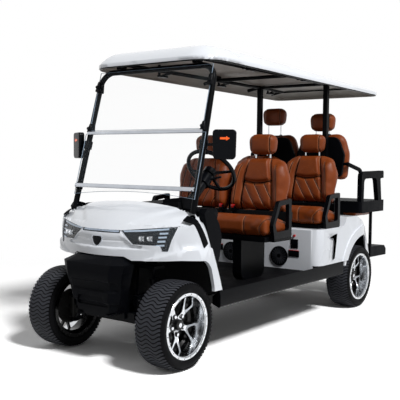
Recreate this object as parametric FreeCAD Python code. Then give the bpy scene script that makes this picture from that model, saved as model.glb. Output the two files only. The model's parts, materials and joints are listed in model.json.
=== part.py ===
import FreeCAD, Part
import math
import os

# Six-seat electric golf cart, forward row, middle row and a rear-facing flip seat.
# Millimetres. Z is up, the nose points to -Y, the driver's side is +X.
# The origin lies on the ground at the middle of the whole length and width.

V = FreeCAD.Vector

# Overall layout
wheelbase = 2400.0
front_overhang = 270.0
rear_overhang = 770.0
body_half = 568.0            # side of the body from the middle plane
panel_wall = 12.0            # moulded body panels
soft_gap = 0.4               # cushions from what carries them
seat_gap = 0.3               # hard pieces that rest against each other
run_gap = 0.05               # radial clearance of pins and spindles

# Wheels
tyre_radius = 260.0
tyre_width = 205.0
track_half = 449.0
lip_radius = 195.0
bead_radius = 178.0
drop_radius = 160.0
rim_wall = 8.0
rim_half = 97.0              # lip plane from the wheel's middle plane
spoke_setback = 76.0         # spoke face behind the lip plane
cap_radius = 33.0
cap_rise = 26.0              # centre cap in front of the spoke face
spoke_thick = 20.0
spoke_count = 5
hub_radius = 44.0
hub_start = 12.0             # hub's inner end, inboard of the wheel's middle plane
spindle_reach = 34.0
spindle_radius = 20.0
kingpin_set = 59.0           # kingpin inboard of the wheel's middle plane
kingpin_radius = 12.0
kingpin_span = 190.0
brake_radius = 112.0

# Floor, sills and frame rails
floor_top = 390.0
floor_thick = 20.0
sill_bottom = 322.0
sill_top = 430.0
sill_width = 62.0
sill_gap_to_tyre = 290.0     # sill's front end behind the front axle
floor_start = 328.0          # floor's front end behind the front axle
toe_rise = 230.0
rail_x = 205.0
rail_width = 50.0
rail_height = 60.0
rail_bottom = 250.0
kick_height = 150.0
rail_front = 110.0            # rails reach ahead of the front axle
rail_end = 290.0              # and behind the rear axle
tower_z = 575.0              # shelf that carries the dampers
housing_x = 150.0            # plates between the front wheels
housing_top = 600.0
housing_end = 180.0          # behind the front axle
tow_bore = 13.0
hitch_bore = 8.0
battery_length = 370.0
battery_height = 240.0

# Front body
hood_top = 966.0
nose_y_from_axle = -200.0    # foremost point of the white nose
nose_bottom = 622.0
arch_front_z = 636.0
tail_bottom = 437.0
tail_front = 220.0           # fender tail, behind the front axle
tail_back = 300.0
hood_back = 150.0
hood_corner_z = 905.0
flare_depth = 10.0
cover_thick = 6.0
flare_band = 62.0
bumper_half = 254.0
bumper_bottom = 320.0
bumper_top = 650.0
bumper_depth = 150.0
dash_bottom = 700.0

# Lamps, corners seen from the front (x, z, corner radius), and the tail lamps
lamp_points = [(153, 803, 3), (240, 726, 4), (392, 722, 4), (400, 690, 3), (436, 690, 3), (474, 834, 4)]
light_bar_points = [(-156, 786, 1), (156, 786, 1), (156, 804, 1), (-156, 804, 1)]

tail_lamp_inset = 16.0       # from the body's side
tail_lamp_width = 40.0
tail_lamp_z = (418.0, 498.0)
tail_lamp_thick = 14.0

# Windshield
frame_tube = 19.0
shield_base_x = 493.0
shield_base_y = 110.0        # behind the front axle
shield_base_z = 905.0
shield_top_x = 471.0
shield_top_y = 353.0
shield_top_z = 1808.0
shield_bend = 100.0
mid_rail_z = 1395.0
low_rail_z = 1041.0
rail_tube = 9.0
pane_thick = 5.0
pane_half = 500.0
rail_room = 12.0             # panes end this far from the middle rail
low_pane_z = 985.0
mirror_x = 610.0
mirror_y = 256.0             # behind the front axle
mirror_z = 1315.0
mirror_width = 142.0
mirror_height = 178.0
mirror_thick = 40.0
mirror_turn = 28.0           # degrees towards the driver

# Roof
roof_half = 515.0
roof_front = 240.0           # behind the front axle
roof_back = 400.0            # behind the rear axle
roof_lip_z = 1822.0
fascia_height = 74.0
roof_crown = 32.0
roof_wall = 12.0
roof_corner_front = 190.0
roof_pitch = 0.55            # degrees, nose up
roof_corner_back = 80.0
top_rail_tube = 14.0
top_rail_z = 1864.0
post_x = 319.0
post_side = 38.0
post_y = -239.0              # rear posts from the rear axle

# Seats
seat_front = 880.0           # front cushions behind the front axle
row_pitch = 780.0
cushion_half = 528.0
cushion_depth = 320.0
cushion_thick = 130.0
front_cushion_bottom = 706.0
second_rise = 28.0
middle_gap = 14.0
back_x = 247.0
back_width = 456.0
back_thick = 112.0
back_height = 372.0
back_setback = 325.0         # face of the back behind the cushion's front
back_lift = 33.0             # back's lower edge above the cushion
back_lean = 8.0              # degrees
headrest_width = 212.0
headrest_height = 142.0
headrest_thick = 105.0
headrest_gap = 38.0
headrest_post = 6.0
headrest_post_x = 62.0
shelf_thick = 36.0
ear_thick = 20.0
pedestal_x = 290.0
pedestal_thick = 70.0
pedestal_depth = 310.0
armrest_width = 30.0
armrest_x = 546.0
armrest_set = 62.0           # foot behind the cushion's front

# Rear body
side_top = 708.0
hump_top = 780.0
panel_set = 65.0             # front panel ahead of the middle row's cushion
panel_corner = 80.0
arch_radius = 355.0
rear_flare_radius = 432.0
fender_reach = 418.0         # rear fender's tail behind the axle
fender_width = 70.0
fender_bend = 540.0
fender_slope = 0.35          # the tail leans forward with height
body_centre_end = 55.0
tail_rear_bottom = 400.0
speaker_places = (225.0, -225.0)
speaker_z = 487.0
speaker_radius = 68.0

# Rear flip seat
flip_y = 343.0               # pivot behind the rear axle
flip_z = 835.0
ring_side = 53.0             # ring outside the panel, each side
ring_half_y = 260.0
ring_wall = 20.0
ring_height = 100.0
deck_half_x = 452.0
deck_half_y = 215.0
deck_thick = 35.0
deck_cushion_inset = 20.0
deck_cushion_half_y = 196.0
deck_cushion_thick = 102.0
flip_pin_radius = 12.0
rear_back_x = 235.0
rear_back_width = 452.0
rear_back_bottom = 1080.0
rear_back_height = 366.0
rear_back_y = -45.0          # pad's rear face from the rear axle (negative is ahead)
rear_shell_thick = 30.0
shell_narrow = 26.0
shell_side = 4.0
shell_lift = 16.0
stay_top = 1205.0
stay_tube = 17.0
rear_pad_thick = 95.0
rear_rest_set = 76.0          # headrests ahead of the pads' rear face
rear_rest_raise = 58.0       # the right headrest stands pulled up by this
foot_top = 470.0
foot_bottom = 365.0
foot_inset = 38.0            # footrest clear of the fenders
foot_length = 440.0
foot_post_inset = 35.0       # posts under the ring's side
foot_post_side = 22.0

# Steering
wheel_x = 310.0
wheel_y = 545.0              # steering wheel's centre behind the front axle
wheel_z = 1155.0
wheel_ring = 178.0
wheel_grip = 14.0
column_angle = 42.0          # degrees above level
column_length = 300.0
shaft_radius = 10.0

# Stations worked out from the sizes above
length = wheelbase + front_overhang + rear_overhang
front_axle = -length / 2 + front_overhang
rear_axle = front_axle + wheelbase
nose_y = front_axle + nose_y_from_axle
front_row = front_axle + seat_front
second_row = front_row + row_pitch
flip_at = rear_axle + flip_y
kingpin_x = track_half - kingpin_set
ring_half_x = deck_half_x + ring_side
deck_cushion_half_x = deck_half_x - deck_cushion_inset
foot_half_x = body_half - fender_width - foot_inset
foot_post_x = ring_half_x - foot_post_inset
roof_y0 = front_axle + roof_front
roof_y1 = rear_axle + roof_back
post_at = rear_axle + post_y
panel_y = second_row - panel_set

planes = {"xy": lambda u, v, w: V(u, v, w),
          "xz": lambda u, v, w: V(u, w, v),
          "yz": lambda u, v, w: V(w, u, v)}


# Basic forms

def block(x0, x1, y0, y1, z0, z1):
    return Part.makeBox(x1 - x0, y1 - y0, z1 - z0, V(x0, y0, z0))


def soft_block(x0, x1, y0, y1, z0, z1, radius):
    body = block(x0, x1, y0, y1, z0, z1)
    return body.makeFillet(radius, body.Edges)


def rod(start, end, radius):
    axis = end - start
    return Part.makeCylinder(radius, axis.Length, start, axis)


def mirrored(shape):
    return shape.mirror(V(0, 0, 0), V(1, 0, 0))


def both(shapes):
    return shapes + [mirrored(shape) for shape in shapes]


def fused(shapes):
    body = shapes[0]
    for shape in shapes[1:]:
        body = body.fuse(shape)
    return body.removeSplitter()


def corner_arc(before, point, after, radius):
    to_before = (before - point).normalize()
    to_after = (after - point).normalize()
    half = math.acos(max(-1.0, min(1.0, to_before.dot(to_after)))) / 2
    reach = radius / math.tan(half)
    start = point + to_before * reach
    end = point + to_after * reach
    bisector = (to_before + to_after).normalize()
    middle = point + bisector * (radius / math.sin(half) - radius)
    return start, middle, end


def outline(points, plane, w):
    """Closed wire of straight sides whose corners (u, v, radius) are rounded."""
    spots = [planes[plane](p[0], p[1], w) for p in points]
    radii = [p[2] if len(p) > 2 else 0.0 for p in points]
    count = len(spots)
    edges = []
    trail = []
    for i in range(count):
        if radii[i] > 0:
            trail.append(corner_arc(spots[i - 1], spots[i], spots[(i + 1) % count], radii[i]))
        else:
            trail.append((spots[i], None, spots[i]))
    for i in range(count):
        start, middle, end = trail[i]
        if middle is not None:
            edges.append(Part.Arc(start, middle, end).toShape())
        after = trail[(i + 1) % count][0]
        if (after - end).Length > 1e-6:
            edges.append(Part.LineSegment(end, after).toShape())
    return Part.Wire(edges)


def slab(points, plane, w0, w1):
    """Rounded outline in a plane, drawn out from w0 to w1 across it."""
    face = Part.Face(outline(points, plane, w0))
    return face.extrude(planes[plane](0, 0, w1) - planes[plane](0, 0, w0))


def mirror_points(points):
    """Right half of an outline, from bottom to top, closed with its mirror image."""
    return points + [(-p[0],) + tuple(p[1:]) for p in reversed(points)]


def tube(points, radius, bends):
    """Round bar along straight runs joined by tangent arcs."""
    edges = []
    here = points[0]
    for i in range(1, len(points) - 1):
        start, middle, end = corner_arc(points[i - 1], points[i], points[i + 1], bends[i - 1])
        edges.append(Part.LineSegment(here, start).toShape())
        edges.append(Part.Arc(start, middle, end).toShape())
        here = end
    edges.append(Part.LineSegment(here, points[-1]).toShape())
    path = Part.Wire(edges)
    section = Part.Wire([Part.Circle(points[0], points[1] - points[0], radius).toShape()])
    return path.makePipeShell([section], True, True)


def turned(points, centre, axis_x):
    """Profile of (x, radius) points turned about an axle that runs along X."""
    spots = [V(p[0], 0, p[1]) for p in points]
    edges = [Part.LineSegment(spots[i], spots[(i + 1) % len(spots)]).toShape()
             for i in range(len(spots))]
    body = Part.Face(Part.Wire(edges)).revolve(V(0, 0, 0), V(1, 0, 0), 360)
    body.translate(V(axis_x, centre.y, centre.z))
    return body


def write(node, shapes):
    Part.makeCompound(shapes).exportStep("parts/" + node + ".step")


# Running gear

def tyre_shape(centre):
    half = tyre_width / 2
    bead = rim_half - rim_wall - seat_gap
    inner = bead_radius + seat_gap
    profile = [(-bead, inner), (-bead, lip_radius + 3), (-half + 5, lip_radius + 8),
               (-half, lip_radius + 30), (-half + 4, tyre_radius - 22),
               (-half + 22, tyre_radius - 5), (-half + 45, tyre_radius),
               (half - 45, tyre_radius), (half - 22, tyre_radius - 5),
               (half - 4, tyre_radius - 22), (half, lip_radius + 30),
               (half - 5, lip_radius + 8), (bead, lip_radius + 3), (bead, inner)]
    return turned(profile, centre, centre.x)


def rim_shape(centre):
    """Wheel of the +X side: stepped barrel, deep lip, five forked spokes, blind hub."""
    seat = bead_radius
    wall = rim_wall
    lip = rim_half
    outer = [(-lip, lip_radius), (-lip + wall, lip_radius), (-lip + wall, seat),
             (-74, seat), (-62, drop_radius), (-26, drop_radius), (-14, seat),
             (lip - wall, seat), (lip - wall, lip_radius), (lip, lip_radius)]
    inner = [(lip, lip_radius - wall), (lip - 14, seat - wall), (-10, seat - wall),
             (-22, drop_radius - wall), (-66, drop_radius - wall), (-78, seat - wall),
             (-lip, seat - wall)]
    barrel = turned(outer + inner, centre, centre.x)
    face = lip - spoke_setback
    disc_outer = seat - wall + 2
    dish = [(face - spoke_thick, 0), (face - spoke_thick, disc_outer), (face, disc_outer),
            (face - 10, hub_radius + 14), (face - 4, cap_radius + 1), (face - 4 + cap_rise, cap_radius - 4),
            (face - 4 + cap_rise, 0)]
    disc = turned(dish, centre, centre.x)
    step = 360.0 / spoke_count
    for i in range(spoke_count):
        window = spoke_window(centre)
        notch = fork_notch(centre)
        window.rotate(centre, V(1, 0, 0), step * i)
        notch.rotate(centre, V(1, 0, 0), step * i)
        disc = disc.cut(window).cut(notch)
    hub = Part.makeCylinder(hub_radius, face - spoke_thick + hub_start,
                            centre - V(hub_start, 0, 0), V(1, 0, 0))
    body = fused([barrel, disc, hub])
    bore = rod(centre - V(hub_start + 1, 0, 0), centre + V(spindle_reach + 3, 0, 0),
               spindle_radius + run_gap)
    return body.cut(bore)


def spoke_window(centre):
    """Large opening between two forked spokes."""
    reach = bead_radius - rim_wall - 8
    points = [(0, hub_radius + 18, 8), (54, reach * 0.68, 12), (58, reach * 0.84, 12),
              (0, reach * 1.12, 60), (-58, reach * 0.84, 12), (-54, reach * 0.68, 12)]
    body = slab(points, "yz", -10, rim_half)
    body.translate(centre)
    return body


def fork_notch(centre):
    """Small opening inside the fork of a spoke, half a step on from the window."""
    reach = bead_radius - rim_wall - 8
    points = [(0, reach * 0.62, 5), (25, reach * 0.93, 7), (-25, reach * 0.93, 7)]
    body = slab(points, "yz", -10, rim_half)
    body.rotate(V(0, 0, 0), V(1, 0, 0), 180.0 / spoke_count)
    body.translate(centre)
    return body


def knuckle_shape():
    """Upright of the +X side: kingpin, spindle, steering arm and brake disc."""
    centre = V(kingpin_x, front_axle, tyre_radius)
    half = kingpin_span / 2
    pin = rod(centre - V(0, 0, half), centre + V(0, 0, half), kingpin_radius)
    upright = block(kingpin_x - 20, kingpin_x + 20, front_axle - 26, front_axle + 26,
                    tyre_radius - half + 24, tyre_radius + half - 24)
    upright = upright.makeFillet(8, upright.Edges)
    spindle = rod(centre, V(track_half + spindle_reach, front_axle, tyre_radius), spindle_radius)
    disc = rod(V(track_half - hub_start - 16, front_axle, tyre_radius),
               V(track_half - hub_start - 8, front_axle, tyre_radius), brake_radius)
    arm = rod(centre + V(-8, 20, -30), centre + V(-22, 118, -35), 11)
    ball = Part.makeSphere(15, centre + V(-22, 118, -35))
    return fused([pin, upright, spindle, disc, arm, ball])


def front_suspension_shapes():
    """Wishbones with kingpin eyes, coil-over dampers, rack with short tie rods."""
    half = kingpin_span / 2
    inner_x = rail_x + rail_width / 2 + seat_gap
    shapes = []
    for z_pin, z_in, spread in ((tyre_radius - half, rail_bottom + 14, 95),
                                (tyre_radius + half - 18, rail_bottom + 130, 70)):
        apex = V(kingpin_x, front_axle, z_pin + 9)
        eye = Part.makeCylinder(24, 18, V(kingpin_x, front_axle, z_pin))
        legs = []
        for side in (-1, 1):
            foot = V(inner_x, front_axle + side * spread, z_in)
            legs.append(rod(foot, apex + V(-16, side * 6, 0), 10))
            legs.append(rod(foot + V(0, -18, 0), foot + V(0, 18, 0), 14))
        arm = fused([eye] + legs)
        bore = Part.makeCylinder(kingpin_radius + run_gap, 40, V(kingpin_x, front_axle, z_pin - 10))
        arm = arm.cut(bore)
        arm = arm.cut(block(0, inner_x, front_axle - 200, front_axle + 200, 0, 900))
        shapes.append(arm)
    return shapes


def damper_shape():
    low = V(kingpin_x - 90, front_axle, tyre_radius - kingpin_span / 2 + 36)
    high = V(kingpin_x - 105, front_axle, tower_z - 0.8)
    axis = (high - low).normalize()
    body = rod(low, high, 10)
    coil = rod(low + axis * 90, low + axis * 300, 23)
    seat = rod(low + axis * 82, low + axis * 94, 26)
    cap = rod(low + axis * 296, low + axis * 308, 26)
    return fused([body, coil, seat, cap])


def rack_shape():
    centre = V(0, front_axle + 165, rail_bottom - 22)
    body = rod(centre - V(170, 0, 0), centre + V(170, 0, 0), 20)
    tie = rod(centre - V(250, 0, 0), centre + V(250, 0, 0), 9)
    bracket = block(-60, 60, centre.y - 14, centre.y + 14, centre.z, rail_bottom - seat_gap)
    return fused([body, tie, bracket])


def chassis_shapes():
    """Ladder frame: two kicked-up rails, cross members, strut towers, tow eye, hitch."""
    y0 = front_axle - rail_front
    y1 = rear_axle + rail_end
    kick0 = rear_axle - 470
    kick1 = rear_axle - 350
    low = rail_bottom
    top = rail_bottom + rail_height
    rail = slab([(y0, low), (kick0, low, 40), (kick1, low + kick_height, 40),
                 (y1, low + kick_height), (y1, top + kick_height),
                 (kick1 - 20, top + kick_height, 40), (kick0 - 20, top, 40), (y0, top)],
                "yz", rail_x - rail_width / 2, rail_x + rail_width / 2)
    members = both([rail])
    inner = rail_x
    for y in (y0 + 30, front_axle + 165, front_row + 60, front_row + 560, second_row + 130):
        members.append(block(-inner, inner, y - 25, y + 25, low, top - 10))
    for y in (rear_axle - 250, y1 - 30):
        members.append(block(-inner, inner, y - 25, y + 25, low + kick_height, top + kick_height - 10))
    frame = fused(members)
    tower = slab([(front_axle - 70, top - 5), (front_axle + 70, top - 5),
                  (front_axle + 45, tower_z + 15, 10), (front_axle - 45, tower_z + 15, 10)],
                 "yz", rail_x - 10, rail_x + 8)
    shelf = block(rail_x - 5, kingpin_x - 60, front_axle - 45, front_axle + 45, tower_z, tower_z + 15)
    lug = block(rail_x - 10, rail_x + rail_width / 2, front_axle - 80, front_axle + 80,
                rail_bottom + 100, rail_bottom + 160)
    plate_y = front_axle - front_overhang + bumper_depth + seat_gap
    plate = block(-160, 160, plate_y, y0 + 30, low + 20, top + 120)
    house = block(housing_x, housing_x + 6, plate_y, front_axle + housing_end, low + 20, housing_top)
    frame = fused([frame, plate] + both([tower, shelf, lug, house]))
    leg = block(290, 330, flip_at - ring_half_y + 2, flip_at - ring_half_y + 32,
                low + kick_height, flip_z - ring_height / 2 - seat_gap)
    foot = block(rail_x, 330, flip_at - ring_half_y + 2, flip_at - ring_half_y + 32,
                 low + kick_height, top + kick_height)
    frame = fused([frame] + both([leg, foot]))
    eye_y = y0 - 30
    eye = slab([(-26, eye_y - 26, 24), (26, eye_y - 26, 24), (26, y0 + 20), (-26, y0 + 20)],
               "xy", low + 20, low + 32)
    eye = eye.cut(Part.makeCylinder(tow_bore, 60, V(0, eye_y, low)))
    bar_top = foot_bottom - 12
    bar = block(-25, 25, y1 - 40, y1 + 95, bar_top - 12, bar_top)
    drop = block(-25, 25, y1 - 40, y1 - 25, bar_top - 12, low + kick_height + 10)
    bar = bar.cut(Part.makeCylinder(hitch_bore, 60, V(0, y1 + 70, bar_top - 40)))
    return [fused([frame, eye, drop, bar])]


def rear_axle_shape():
    """Axle tube with brake drums, gear case and motor, and spindle stubs."""
    centre = V(0, rear_axle, tyre_radius)
    reach = track_half - 60
    tube_body = rod(centre - V(reach, 0, 0), centre + V(reach, 0, 0), 32)
    stub = V(track_half + spindle_reach, 0, 0)
    stubs = rod(centre - stub, centre + stub, spindle_radius)
    drums = []
    for side in (-1, 1):
        drums.append(rod(centre + V(side * (track_half - 66), 0, 0),
                         centre + V(side * (track_half - 28), 0, 0), brake_radius))
    case = rod(centre - V(70, 0, 0), centre + V(30, 0, 0), 92)
    motor = rod(centre + V(-60, -150, 20), centre + V(165, -150, 20), 84)
    neck = block(-60, 30, rear_axle - 160, rear_axle, tyre_radius - 60, tyre_radius + 60)
    return fused([tube_body, stubs, case, neck, motor] + drums)


def spring_shape():
    """Leaf spring over the axle with its two hangers, +X side."""
    top = tyre_radius + 32 + seat_gap
    rise = 38
    reach = 290
    centre = V(rail_x, rear_axle, 0)
    leaves = []
    for i in range(3):
        span = reach * (1 - 0.28 * i)
        lift = rise * (1 - 0.28 * i) ** 2
        z = top + 20 - 10 * i
        low = Part.Arc(V(0, -span, z + lift), V(0, 0, z), V(0, span, z + lift)).toShape()
        high = Part.Arc(V(0, -span, z + lift + 10), V(0, 0, z + 10), V(0, span, z + lift + 10)).toShape()
        ends = [Part.LineSegment(V(0, s, z + lift), V(0, s, z + lift + 10)).toShape()
                for s in (-span, span)]
        leaf = Part.Face(Part.Wire([low, ends[1], high, ends[0]])).extrude(V(44, 0, 0))
        leaf.translate(centre - V(22, 0, 0))
        leaves.append(leaf)
    for side in (-1, 1):
        y = rear_axle + side * reach
        z = top + 20 + rise + 5
        leaves.append(rod(V(rail_x - 22, y, z), V(rail_x + 22, y, z), 15))
        hanger_top = rail_bottom + kick_height - seat_gap
        leaves.append(block(rail_x - 22, rail_x + 22, y - 10, y + 10, z, hanger_top))
    block_pad = block(rail_x - 22, rail_x + 22, rear_axle - 35, rear_axle + 35, top, top + 6)
    return fused(leaves + [block_pad])


def battery_shape():
    """Battery pack on the cross members under the middle row."""
    half = rail_x - rail_width / 2 - 10
    y = second_row + 20
    z = rail_bottom + rail_height - 10 + seat_gap
    return soft_block(-half, half, y, y + battery_length, z, z + battery_height, 10)


# Floor

def floor_shapes():
    y0 = front_axle + floor_start
    y1 = panel_y + 20
    under = floor_top - floor_thick
    half = body_half - sill_width - seat_gap
    toe_y = y0 + 125
    pan = slab([(toe_y, under), (toe_y, floor_top), (y1, floor_top), (y1, under)], "yz", -half, half)
    toe = slab([(toe_y + 1, under), (toe_y + 1, floor_top), (front_axle + 200, floor_top + toe_rise, 20),
                (front_axle + 200, dash_bottom - seat_gap), (front_axle + 185, dash_bottom - seat_gap),
                (front_axle + 185, floor_top + toe_rise - 8, 20), (toe_y - 20, under, 20)],
               "yz", -half, half)
    toe = toe.cut(wheel_well_cut())
    return [fused([pan, toe])]


def wheel_well_cut():
    """Room for the steered front tyres, both sides."""
    reach = math.hypot(tyre_radius, track_half + tyre_width / 2 - kingpin_x) + 12
    one = Part.makeCylinder(reach, 2 * track_half, V(kingpin_x - 190, front_axle, tyre_radius), V(1, 0, 0))
    return Part.makeCompound(both([one.common(block(0, 900, -3000, 3000, 0, 1500))]))


def sill_shapes():
    """Side sills with a folded upper edge, in pressed black plate."""
    x1 = body_half + 4
    x0 = x1 - sill_width
    y0 = front_axle + sill_gap_to_tyre
    y1 = rear_axle - arch_radius - 30
    fold = sill_top - 28
    section = [(x0, sill_bottom + 20), (x1 - 14, sill_bottom), (x1, sill_bottom + 12),
               (x1, fold), (x1 - 10, sill_top, 4), (x0, floor_top), (x0, floor_top - floor_thick)]
    body = slab(section, "xz", y0, y1)
    return both([body])


# Front body

def hood_section(station, inset, open_below):
    """Side view of the front body at one station, moved inwards by a wall; the core is open behind."""
    x, setback, brow_z, top_z = station
    nose = nose_y + setback + inset
    top = top_z - inset
    back = front_axle + hood_back
    low = nose_bottom - (300 if open_below else 0)
    lamp = brow_z - inset
    start = V(x, nose - 16, low)
    brow = V(x, nose + 24, lamp)
    run = back - brow.y
    rise = top - lamp
    hood = Part.BSplineCurve()
    hood.interpolate([brow, brow + V(0, 0.22 * run, 0.39 * rise), brow + V(0, 0.59 * run, 0.80 * rise),
                      V(x, back, top)])
    face = Part.BSplineCurve()
    face.interpolate([start, V(x, nose - 10, 700), brow])
    past = 60 if open_below else 0
    tail_y = front_axle + tail_back + 20 + past
    tail_z = tail_bottom - (200 if open_below else 0)
    ring = [V(x, back, top), V(x, back + 1 + past, top), V(x, tail_y, tail_z), V(x, nose - 16, tail_z),
            start]
    lines = [Part.LineSegment(ring[i], ring[i + 1]).toShape() for i in range(len(ring) - 1)]
    return Part.Wire([face.toShape(), hood.toShape()] + lines)


def hood_block(inset, open_below):
    """Front body as a loft across its width, trimmed by its plan and front views."""
    right_stations = [(150, 22, 804, 962), (320, 82, 814, 946), (472, 168, 834, 914),
                      (body_half + 50, 262, 806, 850)]
    stations = [(-x, setback, brow_z, top_z) for x, setback, brow_z, top_z in reversed(right_stations)]
    stations += [(0, 0, 804, hood_top)] + right_stations
    side = Part.makeLoft([hood_section(station, inset, open_below) for station in stations], True, False)
    half = body_half - inset
    nose = nose_y + inset
    plan_curve = Part.BSplineCurve()
    right = [V(0, nose, 0), V(160, nose + 26, 0), V(330, nose + 88, 0), V(472 - inset, nose + 172, 0),
             V(half - 18, nose + 275, 0), V(half, nose + 420, 0)]
    left = [V(-p.x, p.y, 0) for p in reversed(right[1:])]
    plan_curve.interpolate(left + right)
    end_y = front_axle + 500
    plan_wire = Part.Wire([plan_curve.toShape(),
                           Part.LineSegment(right[-1], V(half, end_y, 0)).toShape(),
                           Part.LineSegment(V(half, end_y, 0), V(-half, end_y, 0)).toShape(),
                           Part.LineSegment(V(-half, end_y, 0), left[0]).toShape()])
    plan = Part.Face(plan_wire).extrude(V(0, 0, 1500))
    front_curve = Part.BSplineCurve()
    top = hood_top + 4 - inset
    arch = [V(half + 4, 0, 0), V(half, 0, 500), V(half - 12, 0, 720), V(half - 40, 0, 870),
            V(half - 95, 0, top - 38), V(half - 240, 0, top - 8), V(0, 0, top + 2)]
    front_curve.interpolate(arch + [V(-p.x, 0, p.z) for p in reversed(arch[:-1])])
    front_wire = Part.Wire([front_curve.toShape(),
                            Part.LineSegment(V(-half - 4, 0, 0), V(half + 4, 0, 0)).toShape()])
    front = Part.Face(front_wire).extrude(V(0, 3000, 0))
    front.translate(V(0, -2500, 0))
    return side.common(plan).common(front)


def front_arch_cut():
    """Opening of the front wheel arch in side view, through the whole width."""
    front_edge = nose_y - 60
    inner = front_axle + tail_front
    points = [(front_edge, 0), (front_edge, arch_front_z - 14), (front_axle - 20, arch_front_z + 4, 300),
              (inner - 45, arch_front_z - 8, 90), (inner, tail_bottom + 20, 40), (inner, 0)]
    return slab(points, "yz", -body_half - 60, body_half + 60)


def front_flare_band():
    """Side view of the raised lip over the front wheel, from the nose corner to the tail."""
    y = front_axle
    z = arch_front_z
    points = [(y - 150, z - 60), (y - 120, z + 10, 60), (y - 10, z + flare_band, 200),
              (y + 215, z + flare_band + 8, 60), (y + tail_back + 20, tail_bottom),
              (y + tail_front - 30, tail_bottom), (y + tail_front - 60, z - 60)]
    return slab(points, "yz", -body_half - 60, body_half + 60)


def nose_slab(points, grow, depth):
    """Front-view outline grown by a distance, drawn through the nose."""
    wire = outline(points, "xz", nose_y - 60)
    if grow:
        wire = wire.makeOffset2D(grow)
    return Part.Face(wire).extrude(V(0, depth, 0))


def cowl_shape(outer):
    inner = hood_block(panel_wall, True)
    flare = hood_block(-flare_depth, True).cut(inner).common(front_flare_band())
    end_y = front_axle + 900
    trail = slab([(trailing_y(1000), 1000), (trailing_y(0), 0), (end_y, 0), (end_y, 1000)],
                 "yz", -body_half - 90, body_half + 90)
    shell = outer.cut(inner).fuse(flare).cut(trail).cut(front_arch_cut())
    shell = shell.cut(bumper_seat())
    window = nose_slab(lamp_points, seat_gap, 390)
    bar = nose_slab(light_bar_points, seat_gap, 120)
    shell = shell.cut(window).cut(mirrored(window)).cut(bar)
    for side in (-1, 1):
        base, top = strut_line(side)
        shell = shell.cut(rod(base - (top - base).normalize() * 60, top, frame_tube + seat_gap))
    solids = sorted(shell.Solids, key=lambda s: s.Volume)
    return solids[-1]


def bumper_seat():
    """Trapezoid cut in the nose where the black bumper's top facet stands."""
    points = mirror_points([(bumper_half + 10, nose_bottom - 100), (bumper_half + 10, nose_bottom - 4),
                            (bumper_half - 60, bumper_top + 2, 8)])
    return slab(points, "xz", nose_y - 80, nose_y + 150)


def lamp_shapes(outer):
    core = hood_block(panel_wall + 46, True)
    shell = outer.cut(core)
    lamp = shell.common(nose_slab(lamp_points, 0, 390))
    lamp = sorted(lamp.Solids, key=lambda s: s.CenterOfMass.y)[0]
    bar = shell.common(nose_slab(light_bar_points, 0, 120))
    around = nose_slab(lamp_points, 1.0, 390)
    bar = bar.cut(around).cut(mirrored(around))
    bar = sorted(bar.Solids, key=lambda s: s.CenterOfMass.y)[0]
    return [lamp, mirrored(lamp), bar]


def tail_lamp_shape():
    """Lens on the sloping rear edge of the +X rear fender."""
    low, high = tail_lamp_z
    y_low = fender_tail_y(low) + seat_gap * 1.2
    y_high = fender_tail_y(high) + seat_gap * 1.2
    points = [(y_low, low), (y_low + tail_lamp_thick, low, 5), (y_high + tail_lamp_thick, high, 5),
              (y_high, high)]
    x1 = body_half - tail_lamp_inset
    return slab(points, "yz", x1 - tail_lamp_width, x1)


def strut_line(side):
    base = V(side * shield_base_x, front_axle + shield_base_y, shield_base_z)
    top = V(side * shield_top_x, front_axle + shield_top_y, shield_top_z)
    return base, top


def bumper_shape():
    """Faceted front bumper, lofted between level outlines."""
    front = front_axle - front_overhang
    levels = [(bumper_bottom - 30, 120, 44), (bumper_bottom, 178, 34), (470, 214, 16),
              (548, 232, 0), (606, bumper_half - 6, 4), (bumper_top - 6, 190, 62)]
    wires = []
    for z, half, back in levels:
        y = front + back
        rear = front + bumper_depth
        points = [V(-half * 0.72, y, z), V(half * 0.72, y, z), V(half, y + 46, z), V(half - 10, rear, z),
                  V(-half + 10, rear, z), V(-half, y + 46, z)]
        wires.append(Part.makePolygon(points + [points[0]]))
    body = Part.makeLoft(wires, True, True)
    recess = slab([(-120, bumper_bottom + 30), (120, bumper_bottom + 30), (96, bumper_bottom + 92),
                   (-96, bumper_bottom + 92)], "xz", front - 30, front + 38)
    return body.cut(recess)


def trailing_y(z):
    """Rear edge of the fender at a height."""
    share = (hood_corner_z - z) / (hood_corner_z - tail_bottom)
    return front_axle + shield_base_y + 20 + share * (tail_back - shield_base_y - 20)


def strut_cover_shape():
    """Cover on the +X fender below the windshield's leg, laid on the panel's skin."""
    y = front_axle
    points = [(y + 18, 872, 6), (y + 62, 902, 6), (y + 100, 866, 30), (y + 172, 728, 6), (y + 132, 704, 6),
              (y + 62, 842, 30)]
    strip = slab(points, "yz", shield_base_x - 12, body_half + 40)
    return hood_block(-cover_thick, False).cut(hood_block(-seat_gap, True)).common(strip)


def cowl_trim_shapes():
    """Black panels behind the fenders and the covers at the foot of the struts."""
    y_edge = front_axle + shield_base_y + 20
    back = front_axle + tail_back
    x1 = body_half - 8
    low = 560
    gap = seat_gap * 1.5
    points = [(trailing_y(hood_corner_z) + gap, hood_corner_z, 6), (y_edge + 30, hood_corner_z + 32, 12),
              (y_edge + 90, hood_corner_z + 20, 30), (back - 12, hood_corner_z - 70, 50),
              (back + 14, hood_corner_z - 155, 60), (back - 4, hood_corner_z - 260, 60),
              (trailing_y(low) + gap + 4, low), (trailing_y(low) + gap, low)]
    return slab(points, "yz", x1 - 48, x1)


# Interior

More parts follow.
